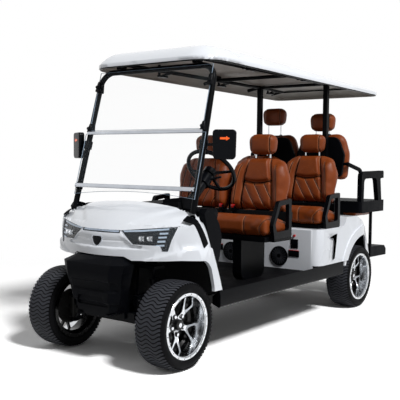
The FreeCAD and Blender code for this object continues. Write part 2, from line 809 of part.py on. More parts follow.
def dash_profile():
    y = front_axle
    return [(y + 170, dash_bottom), (y + 160, hood_top - 50), (y + 166, hood_top + 12, 10),
            (y + 250, hood_top + 22, 20), (y + 325, hood_top - 12, 24), (y + 350, hood_top - 66, 20),
            (y + 312, hood_top - 190, 30), (y + 262, dash_bottom, 20)]


def dash_shape():
    half = body_half - 62
    body = slab(dash_profile(), "yz", -half, half)
    for x0, x1 in ((-half + 40, -150), (-90, 130)):
        pocket = soft_block(x0, x1, front_axle + 220, front_axle + 420, hood_top - 200, hood_top - 90, 14)
        body = body.cut(pocket)
    pod = slab([(front_axle + 175, hood_top), (front_axle + 200, hood_top + 34, 14),
                (front_axle + 300, hood_top + 40, 18), (front_axle + 330, hood_top - 20)],
               "yz", wheel_x - 120, wheel_x + 110)
    return fused([body, pod])


def column_axis():
    angle = math.radians(column_angle)
    return V(0, math.cos(angle), math.sin(angle))


def steering_wheel_shape():
    centre = V(wheel_x, front_axle + wheel_y, wheel_z)
    axis = column_axis()
    ring = Part.makeTorus(wheel_ring, wheel_grip, centre, axis)
    boss = rod(centre - axis * 45, centre - axis * 5, 44)
    across = V(1, 0, 0)
    down = across.cross(axis) * -1
    if down.z > 0:
        down = down * -1
    spokes = []
    for direction in (across, across * -1, down):
        start = centre - axis * 25 + direction * 30
        spokes.append(rod(start, centre - axis * 4 + direction * wheel_ring, 10))
    body = fused([ring, boss] + spokes)
    bore = rod(centre - axis * 46, centre - axis * 20, shaft_radius + run_gap)
    return body.cut(bore)


def column_shape(dash):
    """Column with its shroud and stalk, its lower end cut to the dashboard."""
    centre = V(wheel_x, front_axle + wheel_y, wheel_z)
    axis = column_axis()
    shaft = rod(centre - axis * (column_length - 20), centre - axis * 22, shaft_radius)
    sleeve = rod(centre - axis * column_length, centre - axis * 52, 30)
    shroud = rod(centre - axis * 130, centre - axis * 54, 42)
    stalk = rod(centre - axis * 95, centre - axis * 95 + V(115, 20, 25), 7)
    return fused([shaft, sleeve, shroud, stalk]).cut(dash)


def toe_line():
    """Lower and upper end of the toe board's slope, and its normal."""
    low = V(0, front_axle + floor_start + 125, floor_top)
    high = V(0, front_axle + 200, floor_top + toe_rise)
    along = (high - low).normalize()
    return low, high, V(0, along.z, -along.y)


def pedal_shapes():
    """Accelerator and brake: pads held off the toe board by their stems."""
    low, high, normal = toe_line()
    shapes = []
    for x, width in ((wheel_x + 75, 55), (wheel_x - 45, 95)):
        foot = low + (high - low) * 0.5 + V(x, 0, 0) + normal * (seat_gap * 2)
        head = foot + normal * 66
        stem = rod(foot, head, 7)
        pad = block(-width / 2, width / 2, -45, 45, 0, 12)
        pad = pad.makeFillet(4, pad.Edges)
        pad.rotate(V(0, 0, 0), V(1, 0, 0), -math.degrees(math.atan2(normal.y, normal.z)))
        pad.translate(head - normal * 2)
        shapes.append(fused([pad, stem]))
    return shapes


# Seats

def cushion_shapes(y0, z0):
    body = soft_block(middle_gap / 2, cushion_half, y0, y0 + cushion_depth, z0, z0 + cushion_thick, 28)
    return both([body])


def back_shape(x, y, z, face):
    """Seat back with sloped shoulders and side wings; face is +1 or -1 along Y."""
    half = back_width / 2
    points = mirror_points([(half - 16, 0, 40), (half, 0.62 * back_height, 60),
                            (half - 42, 0.93 * back_height, 60), (half - 110, back_height, 50)])
    core = slab(points, "xz", 0, back_thick - 30)
    core = core.makeFillet(16, core.Edges)
    wing_points = [(half - 78, 30, 20), (half - 20, 30, 20), (half - 6, 0.6 * back_height, 40),
                   (half - 46, 0.9 * back_height, 30), (half - 96, 0.86 * back_height, 20)]
    wing = slab(wing_points, "xz", -28, 30)
    wing = wing.makeFillet(10, wing.Edges)
    body = fused([core, wing, mirrored(wing)])
    body.rotate(V(0, 0, 0), V(1, 0, 0), -back_lean)
    if face > 0:
        body.rotate(V(0, 0, 0), V(0, 0, 1), 180)
    body.translate(V(x, y, z))
    return body


def headrest_shape(x, y, z, face, drop):
    half = headrest_width / 2
    points = mirror_points([(half - 30, 0, 26), (half - 4, headrest_height * 0.45, 30),
                            (half - 26, headrest_height, 50)])
    pad = slab(points, "xz", -headrest_thick / 2, headrest_thick / 2)
    pad = pad.makeFillet(20, pad.Edges)
    posts = []
    for side in (-1, 1):
        foot = V(side * headrest_post_x, 0, -drop)
        posts.append(rod(foot, V(side * headrest_post_x, 0, headrest_height / 2), headrest_post))
    body = fused([pad] + posts)
    if face > 0:
        body.rotate(V(0, 0, 0), V(0, 0, 1), 180)
    body.translate(V(x, y, z))
    return body


def back_place(row_y, cushion_z):
    """Lower front edge of the backs of a row."""
    return row_y + back_setback, cushion_z + cushion_thick + back_lift


def headrest_place(back_y, back_z):
    """Underside of the headrest, over the middle of the back's upper edge."""
    lean = math.radians(back_lean)
    mid = (back_thick - 30) / 2
    top_y = back_y + mid * math.cos(lean) + back_height * math.sin(lean)
    top_z = back_z + back_height * math.cos(lean) - mid * math.sin(lean)
    return top_y, top_z


def row_shapes(row_y, cushion_z):
    """Cushions, backs and headrests of a forward-facing row."""
    cushions = cushion_shapes(row_y, cushion_z)
    back_y, back_z = back_place(row_y, cushion_z)
    backs = both([back_shape(back_x, back_y, back_z, -1)])
    top_y, top_z = headrest_place(back_y, back_z)
    drop = headrest_gap - seat_gap - headrest_post * math.tan(math.radians(back_lean))
    rests = both([headrest_shape(back_x, top_y, top_z + headrest_gap, -1, drop)])
    return cushions, backs, rests


def seat_frame_shapes():
    """Front shelf on two pedestals, and for both rows the beam that carries the backs."""
    shapes = []
    top = front_cushion_bottom - soft_gap
    y0 = front_row + 10
    y1 = front_row + cushion_depth + 25
    shelf = block(-cushion_half + 8, cushion_half - 8, y0, y1, top - shelf_thick, top)
    shelf = shelf.makeFillet(8, [e for e in shelf.Edges if abs(e.tangentAt(e.FirstParameter).z) > 0.9])
    pedestal = slab([(y0 + 5, top - shelf_thick + 2), (y0 + 5, floor_top + seat_gap, 60),
                     (y0 + 5 + pedestal_depth, floor_top + seat_gap, 60),
                     (y0 + 5 + pedestal_depth, top - shelf_thick + 2)],
                    "yz", pedestal_x - pedestal_thick / 2, pedestal_x + pedestal_thick / 2)
    ear_y = front_row + armrest_set
    ear = block(cushion_half - 20, armrest_x + armrest_width / 2, ear_y, ear_y + 236,
                top - shelf_thick, top - shelf_thick + ear_thick)
    parts = [shelf] + both([pedestal, ear]) + back_beam(front_row, front_cushion_bottom, top - 4)
    shapes.append(fused(parts))
    second_bottom = front_cushion_bottom + second_rise
    deck_top = second_bottom - soft_gap
    tray = block(-cushion_half + 10, cushion_half - 10, second_row + 10,
                 second_row + cushion_depth + 10, side_top + seat_gap, deck_top)
    parts = [tray] + back_beam(second_row, second_bottom, deck_top - 8)
    shapes.append(fused(parts))
    return shapes


def back_beam(row_y, cushion_z, foot_z):
    """Leaning uprights behind the backs of a row, on a cross beam with a folded top."""
    back_y, back_z = back_place(row_y, cushion_z)
    behind = back_thick - 30 + seat_gap
    lean = math.radians(back_lean)
    y = row_y + cushion_depth + soft_gap
    top = cushion_z + cushion_thick + 20
    half = cushion_half - 30
    beam = slab([(y, foot_z), (y, top), (y + 102, top), (y + 102, top - 46), (y + 40, top - 76),
                 (y + 40, foot_z)], "yz", -half, half)
    upright = block(back_x - 60, back_x + 60, 0, 26, -70, back_height * 0.62)
    upright = upright.makeFillet(8, upright.Edges)
    upright.rotate(V(0, 0, 0), V(1, 0, 0), -back_lean)
    upright.translate(V(0, back_y + behind * math.cos(lean), back_z - behind * math.sin(lean)))
    return [beam] + both([upright])


def armrest_loop(y, z, x):
    """Moulded D-shaped side armrest; y, z is the lower front corner of its foot."""
    outer = [(y, z), (y - 20, z + 92, 20), (y + 58, z + 256, 30), (y + 232, z + 272, 16), (y + 238, z, 16)]
    inner = [(y + 34, z + 46, 14), (y + 14, z + 98, 16), (y + 80, z + 222, 16), (y + 196, z + 236, 14),
             (y + 198, z + 54, 16)]
    half = armrest_width / 2
    return slab(outer, "yz", x - half, x + half).cut(slab(inner, "yz", x - half - 5, x + half + 5))


# Rear body

def fender_tail_y(z):
    """Sloping rear edge of the rear fender at a height below its bend."""
    return rear_axle + fender_reach - fender_slope * (z - floor_top - seat_gap)


def rear_side_profile(inset):
    """Side view of the rear body down to the fender's tail; positive inset moves it inwards."""
    top = side_top - inset
    hump = hump_top - inset
    hump0 = second_row + cushion_depth + 45
    low = -200 if inset else floor_top + seat_gap
    tail = rear_axle + fender_reach - inset
    return [(panel_y + inset, low), (panel_y + inset, top, 10), (hump0, top, 30), (hump0 + 45, hump, 20),
            (rear_axle - 140, hump, 50), (rear_axle + 76, 700 - inset, 50),
            (rear_axle + 250 - inset / 2, 640 - inset, 150),
            (tail - fender_slope * (fender_bend - floor_top - seat_gap), fender_bend, 60),
            (tail - fender_slope * (low - floor_top - seat_gap), low)]


def rear_block(inset):
    half = body_half - inset
    side = slab(rear_side_profile(inset), "yz", -half - 30, half + 30)
    end = rear_axle + fender_reach + 20 - inset
    corner = panel_corner - inset
    plan = slab([(half, panel_y + inset, corner), (half, end, 40 - inset), (-half, end, 40 - inset),
                 (-half, panel_y + inset, corner)], "xy", -300, 1200)
    return side.common(plan)


def rear_body_shape():
    arch = rod(V(-700, rear_axle, tyre_radius), V(700, rear_axle, tyre_radius), arch_radius)
    shell = rear_block(0).cut(rear_block(panel_wall)).cut(arch)
    well_half = body_half - fender_width
    end_y = rear_axle + body_centre_end
    shell = shell.cut(block(-well_half, well_half, end_y, rear_axle + 800, -300, 1200))
    vent = slab([(rear_axle - 620, 640, 4), (rear_axle - 520, 660, 6), (rear_axle - 556, 470, 20),
                 (rear_axle - 584, 462, 6), (rear_axle - 572, 620, 8)],
                "yz", body_half - 5, body_half + 40)
    shell = shell.cut(vent).cut(mirrored(vent))
    for x in speaker_places:
        spot = V(x, panel_y - 20, speaker_z)
        shell = shell.cut(rod(spot, spot + V(0, 80, 0), speaker_radius + seat_gap))
    sill_in = body_half + 4 - sill_width - seat_gap
    step = block(sill_in, body_half + 40, panel_y - 50, rear_axle - arch_radius, 0, sill_top + seat_gap)
    shell = shell.cut(step).cut(mirrored(step))
    flare = flare_shape()
    shell = shell.fuse(flare).fuse(mirrored(flare))
    return sorted(shell.Solids, key=lambda s: s.Volume)[-1]


def body_trim_shapes():
    """Loudspeakers and socket panels in the rear body's front panel."""
    shapes = []
    for x in speaker_places:
        face = rod(V(x, panel_y - 8, speaker_z), V(x, panel_y - seat_gap, speaker_z), speaker_radius + 8)
        barrel = rod(V(x, panel_y - 4, speaker_z), V(x, panel_y + 45, speaker_z), speaker_radius)
        shapes.append(fused([face, barrel]))
    return shapes


def flare_shape():
    """Raised lip round the rear arch of the +X side."""
    x0 = body_half - panel_wall
    x1 = body_half + flare_depth
    ring = rod(V(x0, rear_axle, tyre_radius), V(x1, rear_axle, tyre_radius), rear_flare_radius)
    ring = ring.cut(rod(V(x0 - 5, rear_axle, tyre_radius), V(x1 + 5, rear_axle, tyre_radius), arch_radius))
    ahead = block(0, 700, rear_axle - 600, rear_axle, sill_top + seat_gap, 900)
    behind = block(0, 700, rear_axle, rear_axle + 600, tail_rear_bottom, 900)
    return ring.common(ahead.fuse(behind))


# Rear flip seat

def ring_shape():
    """Fixed tub frame round the flip panel, with the rear armrests and back supports."""
    z0 = flip_z - ring_height / 2
    z1 = flip_z + ring_height / 2
    outer = slab([(ring_half_x, flip_at - ring_half_y, 30), (ring_half_x, flip_at + ring_half_y, 30),
                  (-ring_half_x, flip_at + ring_half_y, 30), (-ring_half_x, flip_at - ring_half_y, 30)],
                 "xy", z0, z1)
    inner = block(-ring_half_x + 45, ring_half_x - 45, flip_at - ring_half_y + ring_wall,
                  flip_at + ring_half_y - ring_wall, z0 - 1, z1 + 1)
    ring = outer.cut(inner)
    for side in (-1, 1):
        start = V(side * (ring_half_x - 46), flip_at, flip_z)
        ring = ring.cut(rod(start, start + V(side * 30, 0, 0), flip_pin_radius + run_gap))
    x = ring_half_x - 22
    y = flip_at - ring_half_y + 40
    shell_mid = rear_axle + rear_back_y - rear_pad_thick - soft_gap - rear_shell_thick / 2
    head = V(x, shell_mid, stay_top)
    stay = tube([V(x, y, z1 - 5), V(x, y, stay_top - 55), head], stay_tube, [70])
    tip_end = V(rear_back_x + shell_edge(stay_top + 12) + seat_gap, shell_mid, stay_top)
    tip = rod(head + V(stay_tube - 4, 0, 0), tip_end, 12)
    stay = stay.fuse(tip)
    arm = rear_armrest(x)
    return fused([ring] + both([stay, arm]))


def shell_edge(z):
    """Half width of a rear seat's shell at a height below its widest place."""
    low = rear_back_bottom + shell_lift
    wide = rear_back_bottom + 0.55 * rear_back_height
    share = (z - low) / (wide - low)
    return rear_back_width / 2 - shell_narrow * (1 - share) - shell_side * share


def rear_armrest(x):
    y0 = flip_at - ring_half_y + 10
    z = flip_z + ring_height / 2 - 6
    outer = [(y0, z), (y0 + 4, z + 262, 50), (y0 + 480, z + 270, 20), (y0 + 480, z + 205, 8),
             (y0 + 410, z + 200, 10), (y0 + 440, z)]
    inner = [(y0 + 50, z - 1), (y0 + 56, z + 200, 40), (y0 + 320, z + 205, 40), (y0 + 372, z - 1)]
    return slab(outer, "yz", x - 20, x + 20).cut(slab(inner, "yz", x - 30, x + 30))


def rear_back_shapes():
    """Rear-facing pads on their black shells."""
    face_y = rear_axle + rear_back_y
    half = rear_back_width / 2
    height = rear_back_height
    points = mirror_points([(half - 20, 0, 50), (half, 0.55 * height, 60), (half - 50, height, 90)])
    pad = slab(points, "xz", -rear_pad_thick, 0)
    pad = pad.makeFillet(24, pad.Edges)
    small = mirror_points([(half - shell_narrow, shell_lift, 40), (half - shell_side, 0.55 * height, 50),
                           (half - 62, height - 16, 80)])
    shell = slab(small, "xz", -rear_pad_thick - soft_gap - rear_shell_thick, -rear_pad_thick - soft_gap)
    move = V(rear_back_x, face_y, rear_back_bottom)
    pad.translate(move)
    shell.translate(move)
    return pad, shell


def deck_shapes():
    """Cargo panel and the seat cushion under it; both turn about the flip axis."""
    top = flip_z + ring_height / 2
    panel = slab([(deck_half_x, flip_at - deck_half_y, 12), (deck_half_x, flip_at + deck_half_y, 12),
                  (-deck_half_x, flip_at + deck_half_y, 12), (-deck_half_x, flip_at - deck_half_y, 12)],
                 "xy", top - deck_thick, top)
    ears = []
    for side in (-1, 1):
        x0 = side * (deck_half_x - 14)
        x1 = side * deck_half_x
        ears.append(block(min(x0, x1), max(x0, x1), flip_at - 28, flip_at + 28, flip_z - 26, top - 2))
        pin_end = V(side * (ring_half_x - 30), flip_at, flip_z)
        ears.append(rod(V(x0, flip_at, flip_z), pin_end, flip_pin_radius))
    panel = fused([panel] + ears)
    z1 = top - deck_thick - soft_gap
    cushion = soft_block(-deck_cushion_half_x, deck_cushion_half_x, flip_at - deck_cushion_half_y,
                         flip_at + deck_cushion_half_y, z1 - deck_cushion_thick, z1, 24)
    return panel, cushion


def footrest_shape():
    y1 = rear_axle + rear_overhang
    y0 = y1 - foot_length
    half = foot_half_x
    tray = slab([(y0, foot_bottom + 10, 10), (y0, foot_top, 10), (y1 - 40, foot_top - 14, 14),
                 (y1, foot_top - 50, 12), (y1, foot_bottom, 10)], "yz", -half, half)
    under = slab([(y0 + 8, 0), (y0 + 8, foot_top - 10, 10), (y1 - 44, foot_top - 26, 10),
                  (y1 - 12, foot_top - 56, 8), (y1 - 12, 0)], "yz", -half + 10, half - 10)
    tray = tray.cut(under)
    top = flip_z - ring_height / 2 - seat_gap
    post_y0 = flip_at + 20
    post_y1 = post_y0 + foot_post_side
    x0 = foot_post_x - foot_post_side / 2
    x1 = foot_post_x + foot_post_side / 2
    post = block(x0, x1, post_y0, post_y1, foot_bottom + 20, top)
    tab = block(min(half - 20, x0 - 10), x1, post_y0, post_y1, foot_bottom + 20, foot_bottom + 60)
    return fused([tray] + both([post, tab]))


# Roof

def roof_block(inset):
    half = roof_half - inset
    y0 = roof_y0 + inset
    y1 = roof_y1 - inset
    rf = roof_corner_front
    rb = roof_corner_back
    low = roof_lip_z - (50 if inset else 0)
    top = roof_lip_z + fascia_height
    plan = slab([(half, y0, rf), (half, y1, rb), (-half, y1, rb), (-half, y0, rf)], "xy", low, top + 100)
    front = slab(mirror_points([(half, low - 5), (half, top - inset, 26),
                                (half - 150, top + roof_crown * 0.62 - inset, 300),
                                (120, top + roof_crown - inset, 600)]),
                 "xz", y0 - 20, y1 + 20)
    side = slab([(y0, low - 5), (y0, top - inset, 24), (y0 + 170, top + roof_crown * 0.8 - inset, 300),
                 (y0 + 480, top + roof_crown - inset), (y1 - 420, top + roof_crown - inset),
                 (y1 - 150, top + roof_crown * 0.7 - inset, 300),
                 (y1, top - inset - 8, 24), (y1, low - 5)], "yz", -half - 10, half + 10)
    body = plan.common(front).common(side)
    body.rotate(V(0, 0, roof_lip_z), V(1, 0, 0), -roof_pitch)
    return body


def roof_shape():
    return roof_block(0).cut(roof_block(roof_wall))


def roof_frame_shapes():
    """Rear posts, long rails and cross bars under the canopy."""
    z = top_rail_z
    r = top_rail_tube
    front = front_axle + shield_top_y + 40
    back = roof_y1 - 210
    rails = [rod(V(post_x, front, z), V(post_x, back, z), r)]
    bars = []
    for y in (front_row + 620, post_at, back - 20):
        bars.append(tube([V(roof_half - 70, y, z - 22), V(post_x + 20, y, z), V(-post_x - 20, y, z),
                          V(-roof_half + 70, y, z - 22)], r, [120, 120]))
    half = post_side / 2
    post = block(post_x - half, post_x + half, post_at - half, post_at + half, hump_top + seat_gap, z)
    foot = block(post_x - 55, post_x + 55, post_at - 55, post_at + 55, hump_top + seat_gap, hump_top + 10)
    shell_y = rear_axle + rear_back_y - rear_pad_thick - soft_gap - rear_shell_thick
    arm = block(post_x - 20, post_x + 20, post_at, shell_y - seat_gap, 1220, 1270)
    under_canopy = roof_block(roof_wall + seat_gap)
    pads = []
    for y in (front + 40, front_row + 620, post_at, back - 40):
        pads.append(block(post_x - 16, post_x + 16, y - 35, y + 35, z, z + 80).common(under_canopy))
    drop = block(post_x - 16, post_x + 16, front - 22, front + 12, shield_top_z + frame_tube + seat_gap, z)
    front_bracket = block(post_x - 16, post_x + 16, front_axle + shield_top_y - 16, front - 10,
                          shield_top_z + frame_tube + seat_gap, shield_top_z + frame_tube + 14)
    return [fused(both(rails) + bars + both(pads + [post, foot, arm, drop, front_bracket]))]


# Windshield and mirrors

def windshield_frame_shape():
    left = strut_line(-1)
    right = strut_line(1)
    path = [right[0], right[1], left[1], left[0]]
    hoop = tube(path, frame_tube, [shield_bend, shield_bend])
    return hoop


def shield_frame_line(z):
    """Y of the frame's middle line at a height."""
    share = (z - shield_base_z) / (shield_top_z - shield_base_z)
    return front_axle + shield_base_y + share * (shield_top_y - shield_base_y)


def shield_normal():
    rise = V(0, shield_top_y - shield_base_y, shield_top_z - shield_base_z).normalize()
    return V(0, -rise.z, rise.y)


def shield_rails():
    shapes = []
    on_frame = frame_tube + rail_tube + seat_gap
    on_pane = on_frame + pane_thick + seat_gap
    for z, half, reach in ((mid_rail_z, pane_half - 20, on_frame), (low_rail_z, pane_half - 6, on_pane)):
        spot = V(0, shield_frame_line(z), z) + shield_normal() * reach
        shapes.append(rod(spot + V(-half, 0, 0), spot + V(half, 0, 0), rail_tube))
    return shapes


def pane_shape(z0, z1, half, arch):
    """Flat pane in front of the frame, its lower edge arched over the hood."""
    normal = shield_normal()
    rise = V(0, shield_top_y - shield_base_y, shield_top_z - shield_base_z).normalize()
    low = V(0, shield_frame_line(z0), z0) + normal * (frame_tube + seat_gap)
    tall = (z1 - z0) / rise.z
    a = low + V(half, 0, 0)
    b = low + V(half, 0, 0) + rise * tall
    c = low + V(-half, 0, 0) + rise * tall
    d = low + V(-half, 0, 0)
    foot = Part.Arc(d, low + rise * arch, a).toShape() if arch else Part.LineSegment(d, a).toShape()
    wire = Part.Wire([foot, Part.LineSegment(a, b).toShape(), Part.LineSegment(b, c).toShape(),
                      Part.LineSegment(c, d).toShape()])
    return Part.Face(wire).extrude(normal * pane_thick)


def mirror_shape():
    """Mirror of the +X side: its head is turned in towards the driver."""
    half = mirror_width / 2
    tall = mirror_height / 2
    points = [(-half + 4, -tall, 26), (half - 4, -tall, 26), (half, tall, 22), (-half, tall, 22)]
    head = slab(points, "xz", -mirror_thick / 2, mirror_thick / 2)
    head = head.makeFillet(8, head.Edges)
    spot = V(mirror_x, front_axle + mirror_y, mirror_z)
    head.rotate(V(0, 0, 0), V(0, 0, 1), mirror_turn)
    head.translate(spot)
    base, top = strut_line(1)
    direction = (top - base).normalize()
    centre = base + direction * ((mirror_z - shield_base_z) / direction.z)
    grip = rod(centre - direction * 26, centre + direction * 26, frame_tube + 8)
    arm = rod(centre, spot + V(-10, 0, 0), 9)
    body = fused([head, arm, grip]).cut(rod(base, top, frame_tube + seat_gap))
    return body.cut(front_of_frame(mirror_z, pane_half + 12))


def front_of_frame(z, half):
    """Room of the panes in front of the frame, beside a height."""
    normal = shield_normal()
    spot = V(-half, shield_frame_line(z), z) + normal * frame_tube
    room = Part.makeBox(2 * half, 60, 400)
    room.translate(V(0, -60, -200))
    tilt = math.degrees(math.atan2(shield_top_y - shield_base_y, shield_top_z - shield_base_z))
    room.rotate(V(0, 0, 0), V(1, 0, 0), -tilt)
    room.translate(spot)
    return room


# Assembly

os.makedirs("parts", exist_ok=True)

for name, side, y in (("front_left", 1, front_axle), ("front_right", -1, front_axle),
                      ("rear_left", 1, rear_axle), ("rear_right", -1, rear_axle)):
    hub = V(track_half, y, tyre_radius)
    tyre = tyre_shape(hub)
    rim = rim_shape(hub)
    if side < 0:
        tyre = mirrored(tyre)
        rim = mirrored(rim)
    write("tyre_" + name, [tyre])
    write("rim_" + name, [rim])

knuckle = knuckle_shape()
write("knuckle_left", [knuckle])
write("knuckle_right", [mirrored(knuckle)])
write("front_suspension", both(front_suspension_shapes() + [damper_shape()]) + [rack_shape()])
write("chassis_frame", chassis_shapes())
write("rear_axle", [rear_axle_shape()] + both([spring_shape()]))
write("battery", [battery_shape()])

write("floor", floor_shapes())
write("side_sills", sill_shapes())

hood_outer = hood_block(0, False)
write("front_cowl", [cowl_shape(hood_outer)])
write("lamps", lamp_shapes(hood_outer) + both([tail_lamp_shape()]))
write("front_bumper", [bumper_shape()])
write("cowl_trim", both([cowl_trim_shapes(), strut_cover_shape()]))
dash = dash_shape()
write("dashboard", [dash])
write("steering_wheel", [steering_wheel_shape()])
write("steering_column", [column_shape(dash)])
write("pedals", pedal_shapes())

front_cushions, front_backs, front_rests = row_shapes(front_row, front_cushion_bottom)
second_cushions, second_backs, second_rests = row_shapes(second_row, front_cushion_bottom + second_rise)
write("front_cushions", front_cushions)
write("front_backs", front_backs)
write("second_cushions", second_cushions)
write("second_backs", second_backs)
write("seat_frames", seat_frame_shapes())

rear_pad, rear_shell = rear_back_shapes()
rear_rests = []
for side, lift in ((1, headrest_gap - 8), (-1, headrest_gap - 8 + rear_rest_raise)):
    rear_rests.append(headrest_shape(side * rear_back_x, rear_axle + rear_back_y - rear_rest_set,
                                     rear_back_bottom + rear_back_height + lift, 1, lift - seat_gap))
write("rear_backs", both([rear_pad]))
write("rear_back_shells", both([rear_shell]))
write("headrests", front_rests + second_rests + rear_rests)

armrests = []
for row_y, foot_z in ((front_row, front_cushion_bottom - soft_gap - shelf_thick + ear_thick),
                      (second_row, side_top)):
    armrests.append(armrest_loop(row_y + armrest_set, foot_z + seat_gap, armrest_x))
write("side_armrests", both(armrests))

write("rear_body", [rear_body_shape()])
write("body_trim", body_trim_shapes())
write("rear_seat_frame", [ring_shape()])
deck_panel, deck_pad = deck_shapes()
write("rear_deck", [deck_panel])
write("deck_cushion", [deck_pad])
write("footrest", [footrest_shape()])

write("roof", [roof_shape()])
write("roof_frame", roof_frame_shapes())
write("windshield_frame", [windshield_frame_shape()])
write("windshield_rails", shield_rails())
write("windshield", [pane_shape(mid_rail_z + rail_room, shield_top_z - 6, pane_half - 30, 0),
                     pane_shape(low_pane_z, mid_rail_z - rail_room, pane_half, 30)])
write("mirrors", both([mirror_shape()]))
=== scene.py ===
import bpy, bmesh, itertools, json, math
from mathutils import Matrix, Vector
from mathutils.bvhtree import BVHTree


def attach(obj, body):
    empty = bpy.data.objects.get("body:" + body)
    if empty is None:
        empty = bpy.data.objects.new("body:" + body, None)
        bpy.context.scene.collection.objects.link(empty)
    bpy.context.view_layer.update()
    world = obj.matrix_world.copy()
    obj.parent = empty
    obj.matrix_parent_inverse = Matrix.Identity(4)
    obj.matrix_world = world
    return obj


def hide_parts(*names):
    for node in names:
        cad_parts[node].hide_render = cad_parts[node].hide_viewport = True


# Electric golf cart. Metres, Z up, the nose points to -Y, the driver's side is +X.
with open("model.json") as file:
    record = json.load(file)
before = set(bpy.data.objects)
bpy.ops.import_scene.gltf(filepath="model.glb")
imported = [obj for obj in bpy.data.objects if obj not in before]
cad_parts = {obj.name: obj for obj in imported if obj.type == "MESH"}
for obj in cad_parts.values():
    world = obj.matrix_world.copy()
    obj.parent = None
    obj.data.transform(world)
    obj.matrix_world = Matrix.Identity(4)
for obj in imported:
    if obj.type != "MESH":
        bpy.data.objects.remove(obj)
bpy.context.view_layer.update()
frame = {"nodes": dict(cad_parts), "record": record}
nodes = frame["nodes"]
bodyOfNode = {node: body for body, group in frame["record"]["behaviour"]["bodies"].items() for node in group}
print("frame loaded,", len(nodes), "nodes")


# Small helpers

def toLinear(hexColour):  # sRGB hex to the linear values a shader takes
    channels = [int(hexColour[i:i + 2], 16) / 255 for i in (1, 3, 5)]
    return tuple(c / 12.92 if c <= 0.04045 else ((c + 0.055) / 1.055) ** 2.4 for c in channels) + (1.0,)


def addNode(tree, kind, inputs=None, **settings):  # a node with its settings, values and links
    node = tree.nodes.new(kind)
    for name, value in settings.items():
        setattr(node, name, value)
    for socket, value in (inputs or {}).items():
        if isinstance(value, bpy.types.Node):
            value = value.outputs[0]
        if isinstance(value, bpy.types.NodeSocket):
            tree.links.new(value, node.inputs[socket])
        elif isinstance(value, str):
            node.inputs[socket].default_value = toLinear(value)
        else:
            node.inputs[socket].default_value = value
    return node


def startMaterial(name):
    material = bpy.data.materials.new(name)
    material.use_nodes = True
    material.node_tree.nodes.clear()
    place = addNode(material.node_tree, "ShaderNodeTexCoord").outputs["Object"]
    return material, material.node_tree, place


def mathNode(tree, operation, *values):
    return addNode(tree, "ShaderNodeMath", dict(enumerate(values)), operation=operation)


def remap(tree, value, ends, results=(0.0, 1.0), **settings):  # clamped, straight unless the settings say else
    inputs = {"Value": value, "From Min": ends[0], "From Max": ends[1], "To Min": results[0], "To Max": results[1]}
    return addNode(tree, "ShaderNodeMapRange", inputs, **settings)


def mixColours(tree, share, first, second):
    mix = addNode(tree, "ShaderNodeMix", {0: share, 6: first, 7: second}, data_type="RGBA")
    return mix.outputs[2]


seamSizes = {"quiltPitch": 0.0725, "line": (0.0014, 0.0034), "threadAway": 0.0062, "thread": (0.0009, 0.0016),
             "stitchesPerMetre": 120.0}


def sewnSeams(tree, place):  # seam lines darkened with painted shade and stitch dashes from the distances kept on the mesh
    lines, threads = [], []
    for label in ("seamOne", "seamTwo", "quilt"):
        away = addNode(tree, "ShaderNodeAttribute", attribute_name=label).outputs["Fac"]
        if label == "quilt":
            away = mathNode(tree, "PINGPONG", away, seamSizes["quiltPitch"] / 2)
        else:
            away = mathNode(tree, "ABSOLUTE", away)
        line = remap(tree, away, seamSizes["line"], (1.0, 0.0))
        beside = mathNode(tree, "ABSOLUTE", mathNode(tree, "SUBTRACT", away, seamSizes["threadAway"]))
        thread = remap(tree, beside, seamSizes["thread"], (1.0, 0.0))
        if label == "quilt":
            field = addNode(tree, "ShaderNodeAttribute", attribute_name="quilted").outputs["Fac"]
            line = mathNode(tree, "MULTIPLY", line, field)
            thread = mathNode(tree, "MULTIPLY", thread, field)
        lines.append(line)
        threads.append(thread)
    line, thread = (mathNode(tree, "MAXIMUM", mathNode(tree, "MAXIMUM", a, b), c) for a, b, c in (lines, threads))
    split = addNode(tree, "ShaderNodeSeparateXYZ", {"Vector": place})
    along = mathNode(tree, "SUBTRACT", mathNode(tree, "MULTIPLY", split.outputs[2], 1.3),
                     mathNode(tree, "MULTIPLY", split.outputs[0], 0.8))
    stitch = mathNode(tree, "FRACT", mathNode(tree, "MULTIPLY", along, seamSizes["stitchesPerMetre"]))
    dash = mathNode(tree, "GREATER_THAN", stitch, 0.3)
    return line, mathNode(tree, "MULTIPLY", thread, dash)


